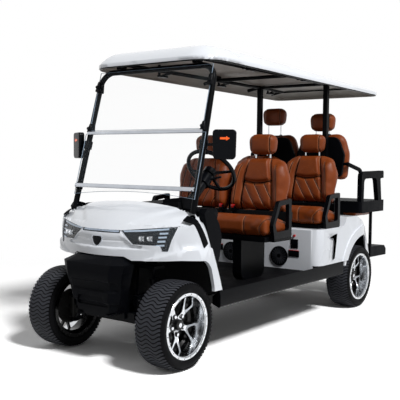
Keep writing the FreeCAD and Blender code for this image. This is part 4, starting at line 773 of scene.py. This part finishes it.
def buildCowl():
    bm = uncapped("front_cowl")
    cutGrid(bm, 2, steps(0.640, 0.800, 16), *noseSizes["face"])
    cutGrid(bm, 0, steps(-0.34, 0.34, 34), (-0.40, -1.80, 0.60), (0.40, -1.45, 0.86))
    cutGrid(bm, 1, steps(-1.66, -1.30, 18), *noseSizes["top"])
    cutGrid(bm, 0, steps(-0.54, 0.54, 45), (-0.60, -1.80, 0.80), (0.60, -1.25, 1.0))
    bm.normal_update()
    for vert in bm.verts:
        x, y, z = vert.co
        if 0.64 < z < 0.80 and vert.normal.y < -0.3:
            ledgeTop = noseSizes["ledge"] + noseSizes["ledgeHalf"]
            fall = blend(z, noseSizes["brow"], ledgeTop)
            if z < ledgeTop:
                fall = blend(z, noseSizes["ledge"] - 0.006, ledgeTop)
            inside = blend(abs(x), noseEdge(z) + 0.004, noseEdge(z) - 0.014)
            vert.co.y += noseSizes["drawIn"] * fall * inside
        if vert.normal.z > 0.45 and z > 0.84 and y > -1.64:
            back = blend(y, -1.62, -1.30)
            edge = 0.150 + 0.235 * back ** 0.8
            outer = 0.235 + 0.250 * back ** 0.7
            rise = blend(abs(x), edge + 0.020, edge - 0.020) + 0.7 * blend(abs(x), outer + 0.022, outer - 0.022)
            vert.co.z += noseSizes["hoodRise"] * (rise - 1.7) * blend(y, -1.63, -1.58)
    return bm


addPiece("cowlBody", buildCowl(), ["paintedAbs"], ["front_cowl"], 28, recalc=False)


def ribbon(path, width, along):  # flat band in the front view, along a line of (x, z) points
    bm = bmesh.new()
    bmesh.ops.create_grid(bm, x_segments=along, y_segments=1, size=1.0)
    for vert in bm.verts:
        share = (vert.co.x + 1) / 2 * (len(path) - 1)
        i = min(int(share), len(path) - 2)
        (x0, z0), (x1, z1) = path[i], path[i + 1]
        run = Vector((x1 - x0, 0, z1 - z0))
        side = Vector((-run.z, 0, run.x)).normalized() * vert.co.y * width / 2
        vert.co = Vector((x0, 0, z0)) + run * (share - i) + side
    return bm


def layOn(bm, tree, lift):  # pushes points of a front view onto a surface
    for vert in bm.verts:
        spot, normal, _, _ = tree.ray_cast(Vector((vert.co.x, -2.5, vert.co.z)), Vector((0, 1, 0)))
        if spot is None:
            spot, normal, _, _ = tree.find_nearest(Vector((vert.co.x, -1.55, vert.co.z)))
        if normal.y > 0:
            normal = -normal
        vert.co = spot + normal * lift
    return bm


def thickened(bm, depth):
    facesOut(bm)
    if sum(f.normal.y for f in bm.faces) > 0:
        bmesh.ops.reverse_faces(bm, faces=bm.faces)
    giveWall(bm, depth)
    return bm


bumperSizes = {"half": 0.205, "ridge": (0.501, 0.506), "recess": (0.446, 0.451), "lower": (0.372, 0.378),
               "recessDeep": 0.014, "lowerDeep": 0.018}
bumper = uncapped("front_bumper")
cutGrid(bumper, 2, (0.368, 0.380, 0.440, 0.452, 0.500, 0.512, 0.560, 0.568), (-0.3, -1.8, 0.3), (0.3, -1.5, 0.6))
cutGrid(bumper, 0, steps(-0.20, 0.20, 10), (-0.3, -1.8, 0.3), (0.3, -1.5, 0.6))
bumper.normal_update()
for vert in bumper.verts:
    x, y, z = vert.co
    if vert.normal.y < -0.4 and z < 0.58:  # a ridge under the top facet, a wide recess and a lower one
        room = blend(abs(x), bumperSizes["half"], bumperSizes["half"] - 0.020)
        recess = blend(z, *reversed(bumperSizes["ridge"])) * blend(z, *bumperSizes["recess"])
        lower = blend(z, *reversed(bumperSizes["lower"]))
        vert.co.y += room * (bumperSizes["recessDeep"] * recess + bumperSizes["lowerDeep"] * lower)
addPiece("bumperShell", bumper, ["texturedPolypropylene"], ["front_bumper"], 25, recalc=False,
         edge=0.004)

lampLayout = {"topStrip": ((0.166, 0.796), (0.28, 0.803), (0.425, 0.817)), "bars": (0.790, 0.768, 0.745, 0.722),
              "cups": ((0.292, 0.760), (0.338, 0.762)), "barLine": ((-0.140, 0.795), (0.0, 0.797), (0.140, 0.795)),
              "badge": ((-0.034, 0.768), (0.034, 0.768), (0.043, 0.755), (0.039, 0.736), (0.018, 0.708), (0.0, 0.701),
                        (-0.018, 0.708), (-0.039, 0.736), (-0.043, 0.755)), "badgeMiddle": 0.7365}

housing = cutOut("lamps", lambda co: co.y < 0)
housing.normal_update()
front = [f for f in housing.faces if f.normal.y < -0.12]
cover = fromMesh(nodes["lamps"].data)
bmesh.ops.remove_doubles(cover, verts=cover.verts, dist=0.00002)
cover.normal_update()
bmesh.ops.delete(cover, geom=[f for f in cover.faces if f.normal.y > -0.12 or f.calc_center_median().y > 0],
                 context="FACES")
addPiece("lampCovers", thickened(cover, 0.002), ["lampCover"], ["lamps"], 40, recalc=False)
for vert in {v for f in front for v in f.verts}:
    vert.co.y += noseSizes["lensDeep"]
housing.normal_update()
lampFloor = BVHTree.FromBMesh(housing)
addPiece("lampHousings", housing, ["blackEnamel"], ["lamps"], 30, recalc=False)
lights, chrome = bmesh.new(), bmesh.new()
barPaths = [((0.374 + 0.10 * (z - 0.72), z), (0.412 + 0.18 * (z - 0.72), z + 0.003)) for z in lampLayout["bars"]]
for side in (-1, 1):
    for path, width, along in [(lampLayout["topStrip"], 0.010, 24)] + [(path, 0.0095, 4) for path in barPaths]:
        strip = layOn(ribbon([(side * x, z) for x, z in path], width, along), lampFloor, 0.007)
        addMesh(lights, thickened(strip, 0.003))
    for x, z in lampLayout["cups"]:
        cup = bmesh.new()
        addCone(cup, turnAt((side * x, 0, z), 90, "X"), (0.007, 0.021), 0.012, 8, caps=False)
        spot, _, _, _ = lampFloor.ray_cast(Vector((side * x, -2.5, z)), Vector((0, 1, 0)))
        for vert in cup.verts:
            vert.co.y += spot.y - 0.0065
            vert.co.z = z + (vert.co.z - z) * 0.72
        giveWall(cup, 0.0012)
        addMesh(chrome, cup)
        for slant in (38, -38):  # crossed vanes
            addBox(chrome, turnAt((side * x, spot.y - 0.007, z), slant, "Y"), (0.046, 0.004, 0.005))
bar = layOn(ribbon(lampLayout["barLine"], 0.0105, 30), lampFloor, 0.006)
addMesh(lights, thickened(bar, 0.003))
addPiece("lampStrips", lights, ["ledStrip"], [], 40)
addPiece("lampCups", chrome, ["chromedSteel"], [], 20)
skin = fromMesh(bpy.data.objects["cowlBody"].data)
cowlSkin = BVHTree.FromBMesh(skin)
skin.free()
for label, scale, lift, paint in (("badgeRim", 1.0, 0.0030, "anodisedAluminium"),
                                  ("badgePlate", 0.86, 0.0042, "blackAbs")):
    plate = bmesh.new()
    middle = lampLayout["badgeMiddle"]
    faceFrom(plate, [(x * scale, 0, middle + (z - middle) * scale) for x, z in lampLayout["badge"]])
    bmesh.ops.triangulate(plate, faces=plate.faces)
    bmesh.ops.subdivide_edges(plate, edges=plate.edges, cuts=2, use_grid_fill=True)
    addPiece(label, thickened(layOn(plate, cowlSkin, lift), 0.0035), [paint], [], 40)
print("front body and lamps made")


# Canopy: thin lip, domed edge that flattens to the rear, lined underside with ribs and a black strip of painted shadow
# under the lip

roofSizes = {"half": 0.515, "front": -1.21, "back": 1.35, "frontCorner": 0.19, "backCorner": 0.08, "lip": 1.822,
             "pitch": 0.0096, "fascia": 0.022, "rise": 0.084, "rearRise": 0.046, "reach": 0.15, "wall": 0.012,
             "ribs": (-0.30, -0.16, 0.16, 0.30), "ribDeep": 0.006, "packedLip": 0.048, "highest": 1.9348,
             "rings": (0.008, 0.020, 0.036, 0.056, 0.080, 0.110, 0.145)}


def roofEdge(x, y):  # distance inwards from the outline in plan
    corner = roofSizes["frontCorner"] if y < 0 else roofSizes["backCorner"]
    across = abs(x) - (roofSizes["half"] - corner)
    along = (roofSizes["front"] + corner - y) if y < 0 else (y - roofSizes["back"] + corner)
    return corner - math.hypot(max(across, 0.0), max(along, 0.0)) - min(max(across, along), 0.0)


def roofLip(y):
    return roofSizes["lip"] - roofSizes["pitch"] * y


def roofHeight(x, y):  # outer skin above the lip
    share = clamped(roofEdge(x, y) / roofSizes["reach"])
    rise = roofSizes["rise"] + (roofSizes["rearRise"] - roofSizes["rise"]) * blend(y, -0.7, 1.35)
    return roofSizes["fascia"] + rise * (1 - (1 - share) ** 2)


roof = uncapped("roof")
rings = roofSizes["rings"]
everywhere = ((-1, -2, 1.7), (1, 2, 2.0))
cutGrid(roof, 0, [s * (roofSizes["half"] - d) for s in (-1, 1) for d in rings] + steps(-0.34, 0.34, 17), *everywhere)
cutGrid(roof, 1, [roofSizes["front"] + d for d in rings] + [roofSizes["back"] - d for d in rings] +
        steps(-1.03, 1.17, 22), *everywhere)
roof.normal_update()
heights = []
for vert in roof.verts:
    x, y, z = vert.co
    depth, high = roofEdge(x, y), z - roofLip(y)
    if depth > 0.0112 and vert.normal.z < 0.2:  # underside and inner wall
        wanted = min(high, roofHeight(x, y) - roofSizes["wall"])
        if high > 0.03:
            wanted = roofHeight(x, y) - roofSizes["wall"]
            wanted -= roofSizes["ribDeep"] * max(bump(x - rib, 0.018) for rib in roofSizes["ribs"])
    elif high < roofSizes["packedLip"] and depth < rings[0]:
        wanted = high * roofSizes["fascia"] / roofSizes["packedLip"]
    else:
        wanted = roofHeight(x, y)
    heights.append(min(roofLip(y) + wanted, roofSizes["highest"]))
for vert, high in zip(roof.verts, heights):
    vert.co.z = high
roof.normal_update()
for face in roof.faces:
    middle = face.calc_center_median()
    face.material_index = 1 if face.normal.z < 0.3 and roofEdge(middle.x, middle.y) > 0.0115 else 0
addPiece("canopyShell", roof, ["paintedAbs", "canopyLining"], ["roof"], 50, recalc=False)
tubes = copyOfNode("roof_frame")
for vert in tubes.verts:  # the frame's brackets end under the thin shell
    room = roofLip(vert.co.y) + roofHeight(vert.co.x, vert.co.y) - roofSizes["wall"]
    vert.co.z = min(vert.co.z, room - roofSizes["ribDeep"])
dressNode("roof_frame", tubes, "powderCoatedSteel", 0.002)
# a thin black strip under the lip stands for the shadow there: painted shadow
shadowStrip = bmesh.new()
bmesh.ops.create_grid(shadowStrip, x_segments=1, y_segments=1, size=1.0)
for vert in shadowStrip.verts:
    vert.co.x *= roofSizes["half"]
    vert.co.y = roofSizes["front"] if vert.co.y < 0 else roofSizes["back"]
for way, corner in ((-1, roofSizes["frontCorner"]), (1, roofSizes["backCorner"])):
    roundOff(shadowStrip, [v for v in shadowStrip.verts if v.co.y * way > 0.5], corner, 12, "VERTICES")
bmesh.ops.inset_region(shadowStrip, faces=shadowStrip.faces[:], thickness=0.0055, use_even_offset=True, use_boundary=True)
bmesh.ops.delete(shadowStrip, geom=[f for f in shadowStrip.faces if len(f.verts) == 4], context="FACES")
bmesh.ops.inset_region(shadowStrip, faces=shadowStrip.faces[:], thickness=0.0045, use_even_offset=True, use_boundary=True)
bmesh.ops.delete(shadowStrip, geom=[f for f in shadowStrip.faces if len(f.verts) > 4], context="FACES")
pushOut(shadowStrip, shadowStrip.faces[:], (0, 0, 0.009))
for vert in shadowStrip.verts:
    vert.co.z += roofLip(vert.co.y) - 0.0075
facesOut(shadowStrip)
for face in shadowStrip.faces:  # black outside as painted shadow under the lip, like the lining inside
    middle = face.calc_center_median()
    ahead = middle + face.normal * 0.002
    face.material_index = 1 if roofEdge(ahead.x, ahead.y) > roofEdge(middle.x, middle.y) + 0.001 else 0
addPiece("canopyShadowStrip", shadowStrip, ["blackAbs", "canopyLining"], [], 40, recalc=False)
clipSizes = {"x": 0.385, "rows": (-0.56, 0.21, 0.99), "pinsAway": 0.04, "pinFoot": 1.842, "pinShort": 0.008}
grips = bmesh.new()
for side in (-1, 1):
    x = side * clipSizes["x"]
    for y in clipSizes["rows"]:
        parts = [((0.024, 0.105, 0.016), (x, y, 1.838)), ((0.07, 0.020, 0.010), (side * 0.352, y, 1.849))]
        for end in (y - clipSizes["pinsAway"], y + clipSizes["pinsAway"]):  # pins end inside the shell
            top = roofLip(end) + roofHeight(x, end) - clipSizes["pinShort"]
            foot = clipSizes["pinFoot"]
            parts.append(((0.016, 0.018, top - foot), (x, end, (top + foot) / 2)))
        for size, spot in parts:
            addBox(grips, Matrix.Translation(spot), size, 0.0045)
addPiece("canopyClips", grips, ["blackAbs"], [], 40)
print("canopy made")


# Windshield: pane edges with a painted highlight, extruded rails and the moulded clamps on the struts

shieldSizes = {"foot": (0.493, -1.340, 0.905), "head": (0.471, -1.097, 1.808), "edge": 0.0018,
               "clamps": ((1.425, 0.034, 0.056, 0.062), (1.710, 0.040, 0.056, 0.075), (1.045, 0.030, 0.050, 0.050)),
               "rails": ((0.480, (0, -1.236, 1.3955), 0.022), (0.494, (0, -1.337, 1.0480), 0.026))}
leanRun, leanRise = (shieldSizes["head"][axis] - shieldSizes["foot"][axis] for axis in (1, 2))


def strutSpot(side, z):
    foot, head = Vector(shieldSizes["foot"]), Vector(shieldSizes["head"])
    spot = foot.lerp(head, (z - foot.z) / (head.z - foot.z))
    return Vector((side * spot.x, spot.y, spot.z))


strutLean = Matrix.Rotation(-math.atan2(leanRun, leanRise), 4, "X")
clamps = bmesh.new()
for side in (-1, 1):
    for z, wide, deep, tall in shieldSizes["clamps"]:
        block = startBox((wide, deep, tall))
        for vert in block.verts:  # tapered upwards, with a nose that grips the pane
            if vert.co.z > 0:
                vert.co.x *= 0.62
                vert.co.y *= 0.8
        roundOff(block, block.edges[:], 0.007, 3)
        addCone(block, turnAt((0, -deep / 2 - 0.003, -tall * 0.1), 90, "X"), (0.012, 0.010), 0.012, 20)
        place = Matrix.Translation(strutSpot(side, z) + Vector((-side * 0.006, -0.008, 0))) @ strutLean
        addMesh(clamps, block, place)
addPiece("shieldClamps", clamps, ["blackAbs"], [], 40)
panes = copyOfNode("windshield")
panes.normal_update()
across = Vector((0, -leanRise, leanRun)).normalized()
bmesh.ops.delete(panes, geom=[f for f in panes.faces if abs(f.normal.dot(across)) > 0.7], context="FACES")
giveWall(panes, -shieldSizes["edge"])
addPiece("paneEdges", panes, ["acrylicEdge"], [], 30)
rails = bmesh.new()
for half, spot, tall in shieldSizes["rails"]:
    rail = startBox((half * 2, 0.015, tall))
    roundOff(rail, [e for e in rail.edges if abs(e.verts[0].co.x - e.verts[1].co.x) > 0.1], 0.006, 4)
    addMesh(rails, rail, Matrix.Translation(spot) @ strutLean)
addPiece("shieldRails", rails, ["anodisedAluminium"], ["windshield_rails"], 40)
print("windshield made")


# Mirrors with their turn arrows

mirrorSizes = {"middle": (0.610, -1.194, 1.315), "turn": 28.0, "front": 0.0205,
               "arrow": ((-0.029, 0.0065), (0.008, 0.0065), (0.008, 0.0135), (0.030, 0.0), (0.008, -0.0135),
                         (0.008, -0.0065), (-0.029, -0.0065)), "high": 0.036}
arrows = bmesh.new()
for side in (-1, 1):
    arrow = bmesh.new()
    faceFrom(arrow, [(x * side, 0, z + mirrorSizes["high"]) for x, z in mirrorSizes["arrow"]])
    thickened(arrow, 0.003)
    x, y, z = mirrorSizes["middle"]
    place = turnAt((side * x, y, z), mirrorSizes["turn"] * side, "Z")
    addMesh(arrows, arrow, place @ Matrix.Translation((side * 0.004, -mirrorSizes["front"] - 0.0005, 0)))
addPiece("turnArrows", arrows, ["amberLens"], [], 30)


# Dashboard, steering wheel and the belt buckles between the seats

dashSizes = {"podStart": -0.060, "podEnd": 0.335, "flank": 0.012, "lowTop": 0.925, "highTops": (0.945, 0.992)}
dash = uncapped("dashboard")
start, end, flank = (dashSizes[label] for label in ("podStart", "podEnd", "flank"))
cutGrid(dash, 0, (start - flank, start, end, end + flank), (-1, -2, 0), (1, 0, 2))
for vert in dash.verts:
    share = (vert.co.x - start) / (end - start)
    first, last = dashSizes["highTops"]
    top = first + (last - first) * share if -0.001 < share < 1.001 else dashSizes["lowTop"]
    vert.co.z = min(vert.co.z, top - 0.03 * blend(vert.co.z, 0.9, 1.0) * (1 if vert.co.y < -1.25 else 0))
bmesh.ops.remove_doubles(dash, verts=dash.verts, dist=0.0005)
addPiece("dashPanel", dash, ["texturedPolypropylene"], ["dashboard"], recalc=False, edge=0.003)

wheelPlace = {"middle": Vector((0.310, -0.905, 1.155)), "axis": Vector((0, 0.743, 0.669)), "scale": 0.93}
steer = copyOfNode("steering_wheel")
for vert in steer.verts:
    away = vert.co - wheelPlace["middle"]
    high = away.dot(wheelPlace["axis"])
    flat = away - wheelPlace["axis"] * high
    if flat.length > 0.06:
        flat *= wheelPlace["scale"]
    vert.co = wheelPlace["middle"] + flat + wheelPlace["axis"] * high
addPiece("steerRim", steer, ["blackAbs"], ["steering_wheel"], 50, recalc=False,
         body=bodyOfNode["steering_wheel"])
buckleSizes = {"spots": ((-0.050, -6), (0.053, 5)), "y": -0.262, "z": 0.862,
               "parts": ((0, (0.018, 0.012, 0.075), -0.040), (0, (0.036, 0.018, 0.046), 0.006),
                         (1, (0.026, 0.0195, 0.026), 0.024)),
               "guide": ((0, -0.168, 0.985), (0.070, 0.010, 0.270)), "guideLean": -8,
               "ledge": ((0.256, -0.2365, 0.830), (0.488, 0.015, 0.064))}
buckles = bmesh.new()
for step in (Matrix(), rowStep):
    for x, lean in buckleSizes["spots"]:
        place = step @ turnAt((x, buckleSizes["y"], buckleSizes["z"]), lean, "Y")
        for material, size, z in buckleSizes["parts"]:
            addBox(buckles, place @ Matrix.Translation((0, 0, z)), size, 0.003, material)
    spot, size = buckleSizes["guide"]  # belt guide that stands in the gap between the backs
    addBox(buckles, step @ turnAt(spot, buckleSizes["guideLean"], "X"), size, 0.004)
    (x, y, z), size = buckleSizes["ledge"]  # dark ledge between a cushion and its back, partly the seat frame and partly painted shade in that gap
    for side in (-1, 1):
        addBox(buckles, step @ Matrix.Translation((side * x, y, z)), size, 0.004)
addPiece("beltBuckles", buckles, ["blackAbs", "redAbs"], [], 40)
print("cabin details made")


# Rear body: drawn in behind the wheels, dark arch liners, vents and the panel behind the front seats

rearSizes = {"axle": 0.95, "squeeze": 0.746, "drawIn": 0.086, "drawFrom": 0.86, "drawTo": 1.33, "straight": 0.30,
             "arch": 0.3515, "linerIn": 0.30, "linerOut": 0.566, "archHigh": 0.26}


def drawnIn(co):  # the rear end narrows and shortens behind the wheels
    share = rearSizes["drawIn"] * blend(co.y, rearSizes["drawFrom"], rearSizes["drawTo"])
    co.x -= math.copysign(share, co.x) * clamped((abs(co.x) - rearSizes["straight"]) / 0.20)
    if co.y > rearSizes["axle"]:
        co.y = rearSizes["axle"] + (co.y - rearSizes["axle"]) * rearSizes["squeeze"]


tub = uncapped("rear_body")
cutGrid(tub, 1, steps(0.86, 1.34, 12), (-0.7, 0.7, 0), (0.7, 1.5, 1))
for vert in tub.verts:
    drawnIn(vert.co)
bmesh.ops.remove_doubles(tub, verts=tub.verts, dist=0.0002)
tub.normal_update()
addPiece("rearTub", tub, ["paintedAbs"], ["rear_body"], 30, recalc=False, edge=0.003)
tail = cutOut("lamps", lambda co: co.y > 0)
for vert in tail.verts:
    drawnIn(vert.co)
addPiece("tailLenses", tail, ["redLens"], ["lamps"], 30, recalc=False, edge=0.003)
liners = bmesh.new()
for side in (-1, 1):
    liner = bmesh.new()
    inner, arch = rearSizes["linerIn"], rearSizes["arch"]
    ring = [liner.verts.new((x, -r, 0)) for x, r in ((inner, 0.12), (inner, arch - 0.02), (inner + 0.02, arch),
                                                      (rearSizes["linerOut"], arch))]
    edges = [liner.edges.new(pair) for pair in zip(ring, ring[1:])]
    bmesh.ops.spin(liner, geom=ring + edges, cent=(0, 0, 0), axis=(1, 0, 0), angle=-math.radians(155), steps=40,
                   use_merge=False)
    bmesh.ops.transform(liner, matrix=turnedAbout(-22), verts=liner.verts)
    for vert in liner.verts:
        vert.co += Vector((0, rearSizes["axle"], rearSizes["archHigh"]))
        drawnIn(vert.co)
        vert.co.x *= side
    facesOut(liner)
    giveWall(liner, 0.003)
    addMesh(liners, liner)
addPiece("rearArchLiners", liners, ["texturedPolypropylene"], [], 40)
vents = bmesh.new()
for side in (-1, 1):
    vent = bmesh.new()
    faceFrom(vent, [(0.579, y, z) for y, z in ((0.300, 0.642), (0.428, 0.664), (0.392, 0.472), (0.356, 0.462),
                                               (0.374, 0.600), (0.366, 0.628))])
    giveWall(vent, 0.002)
    addMesh(vents, vent, Matrix.Diagonal((side, 1, 1, 1)))
addPiece("sideVents", vents, ["texturedPolypropylene"], [], 30)
panelSizes = {"y": 0.1435, "boxes": ((0.357, 0.590, 0.062, 0.070, 0), (0.353, 0.512, 0.092, 0.048, 0),
                                     (0.353, 0.538, 0.092, 0.005, 1)),
              "knobs": ((0.357, 0.652, 0.011, 0.023, 1), (0.345, 0.590, 0.012, 0.015, 2),
                        (0.371, 0.590, 0.012, 0.015, 2)),
              "speaker": (0.225, 0.1352, 0.487), "ribs": 18, "ribAway": 0.040}
panel = bmesh.new()
for x, z, wide, tall, material in panelSizes["boxes"]:  # socket plate, pocket and its lip
    for side in (-1, 1):
        addBox(panel, Matrix.Translation((side * x, panelSizes["y"], z)), (wide, 0.006, tall), 0.002, material)
for x, z, radius, long, material in panelSizes["knobs"]:  # a toggle and two sockets
    for side in (-1, 1):
        addCone(panel, turnAt((side * x, panelSizes["y"], z), 90, "X"), (radius, radius * 0.8), long, 24, material)
x, y, z = panelSizes["speaker"]
for side in (-1, 1):  # ribbed loudspeaker grilles
    for i in range(panelSizes["ribs"]):
        turn = turnAt((side * x, y, z), 360 / panelSizes["ribs"] * i, "Y")
        addBox(panel, turn @ Matrix.Translation((panelSizes["ribAway"], 0, 0)), (0.046, 0.004, 0.003), material=3)
addPiece("panelFittings", panel, ["texturedPolypropylene", "redAbs", "blackAbs", "rubbedAndLitRubber"],
         [], 40)
print("rear body made")


# Everything that keeps its packed form, with rounded edges

plainNodes = {
    "knuckle_left": ("castIron", 0.002), "knuckle_right": ("castIron", 0.002), "rear_axle": ("castIron", 0.002),
    "front_suspension": ("powderCoatedSteel", 0), "chassis_frame": ("powderCoatedSteel", 0.003),
    "battery": ("blackAbs", 0), "floor": ("floorMat", 0.003), "side_sills": ("powderCoatedSteel", 0.003),
    "cowl_trim": ("texturedPolypropylene", 0.004), "steering_column": ("blackAbs", 0.002),
    "pedals": ("floorMat", 0), "seat_frames": ("powderCoatedSteel", 0.003),
    "rear_back_shells": ("texturedPolypropylene", 0.006), "side_armrests": ("blackAbs", 0.008),
    "body_trim": ("texturedPolypropylene", 0.002), "rear_seat_frame": ("texturedPolypropylene", 0.004),
    "rear_deck": ("texturedPolypropylene", 0.003), "footrest": ("texturedPolypropylene", 0.004),
    "windshield_frame": ("powderCoatedSteel", 0), "windshield": ("clearAcrylic", 0), "mirrors": ("blackAbs", 0.002),
}
for node, (paint, edge) in plainNodes.items():
    dressNode(node, copyOfNode(node), paint, edge)
print("plain nodes dressed:", len(plainNodes))


# Floor, light and camera

def seenShare(tree):  # 1 where the camera, a mirror or glass looks, 0 for the light that it sheds
    rays = addNode(tree, "ShaderNodeLightPath")
    seen = mathNode(tree, "ADD", mathNode(tree, "ADD", rays.outputs["Is Camera Ray"], rays.outputs["Is Glossy Ray"]),
                    rays.outputs["Is Transmission Ray"])
    seen.use_clamp = True
    return seen


studio = {"floorHalf": 40.0, "skyLight": 0.19, "keyPower": 2020.0, "keySize": 3.0, "fillPower": 10.0,
          "paperSeen": 1.75, "paperBounce": 0.36, "whiteFrom": 2.6, "fade": 1.6, "fillSize": 4.0,
          "keySpot": (10.2, -3.9, 12.0), "keyAim": (0, -0.3, 0.6), "fillSpot": (-5.0, -4.0, 3.5),
          "fillAim": (0, 0, 0.8)}

bm = bmesh.new()
bmesh.ops.create_grid(bm, x_segments=1, y_segments=1, size=studio["floorHalf"])
floorMesh = readMesh(bm, "studioFloor")
studioFloor = addObject("studioFloor", floorMesh)
paper, tree, place = startMaterial("paperFloor")
seen = seenShare(tree)
shade = remap(tree, seen, (0.0, 1.0), (studio["paperBounce"], studio["paperSeen"]))
shade = addNode(tree, "ShaderNodeCombineColor", {0: shade, 1: shade, 2: shade})
matt = addNode(tree, "ShaderNodeBsdfDiffuse", {"Color": shade})
far = addNode(tree, "ShaderNodeVectorMath", {0: place}, operation="LENGTH")
far = remap(tree, far.outputs["Value"], (studio["whiteFrom"], studio["whiteFrom"] + studio["fade"]),
            interpolation_type="SMOOTHSTEP")
plain = addNode(tree, "ShaderNodeEmission", {"Color": "#ffffff", "Strength": 1.0})
sheet = addNode(tree, "ShaderNodeMixShader", {0: mathNode(tree, "MULTIPLY", far, seen), 1: matt, 2: plain})
addNode(tree, "ShaderNodeOutputMaterial", {"Surface": sheet})
floorMesh.materials.append(paper)

world = bpy.data.worlds.new("studioSky")
bpy.context.scene.world = world
world.use_nodes = True
tree = world.node_tree
tree.nodes.clear()
level = remap(tree, seenShare(tree), (0.0, 1.0), (studio["skyLight"], 1.0))
sky = addNode(tree, "ShaderNodeBackground", {"Color": "#ffffff", "Strength": level})
addNode(tree, "ShaderNodeOutputWorld", {"Surface": sky})


def addSoftLight(name, spot, aim, power, size):
    lamp = bpy.data.lights.new(name, "AREA")
    lamp.shape = "DISK"
    lamp.size = size
    lamp.energy = power
    piece = addObject(name, lamp)
    piece.location = spot
    piece.rotation_mode = "QUATERNION"
    piece.rotation_quaternion = (Vector(aim) - Vector(spot)).to_track_quat("-Z", "Y")


for label in ("key", "fill"):
    addSoftLight(label + "Light", *(studio[label + value] for value in ("Spot", "Aim", "Power", "Size")))

view = {"spot": (3.0413, -4.7521, 1.2130), "azimuth": 36.23, "pitch": -2.96, "roll": 0.62, "lens": 65.18,
        "sensor": 36, "shiftY": -0.00275}
camera = bpy.data.cameras.new("camera")
camera.lens = view["lens"]
camera.sensor_width = view["sensor"]
camera.shift_y = view["shiftY"]
cameraObject = addObject("camera", camera)
azimuth, pitch, roll = (math.radians(view[k]) for k in ("azimuth", "pitch", "roll"))
ahead = Vector((-math.sin(azimuth) * math.cos(pitch), math.cos(azimuth) * math.cos(pitch), math.sin(pitch)))
right = Vector((math.cos(azimuth), math.sin(azimuth), 0))
up = right.cross(ahead)
rightTurned = right * math.cos(roll) + up * math.sin(roll)
upTurned = up * math.cos(roll) - right * math.sin(roll)
cameraObject.matrix_world = Matrix((rightTurned, upTurned, -ahead)).transposed().to_4x4()
cameraObject.location = view["spot"]
bpy.context.scene.camera = cameraObject
bpy.context.scene.view_settings.view_transform = "Standard"
print("studio ready")
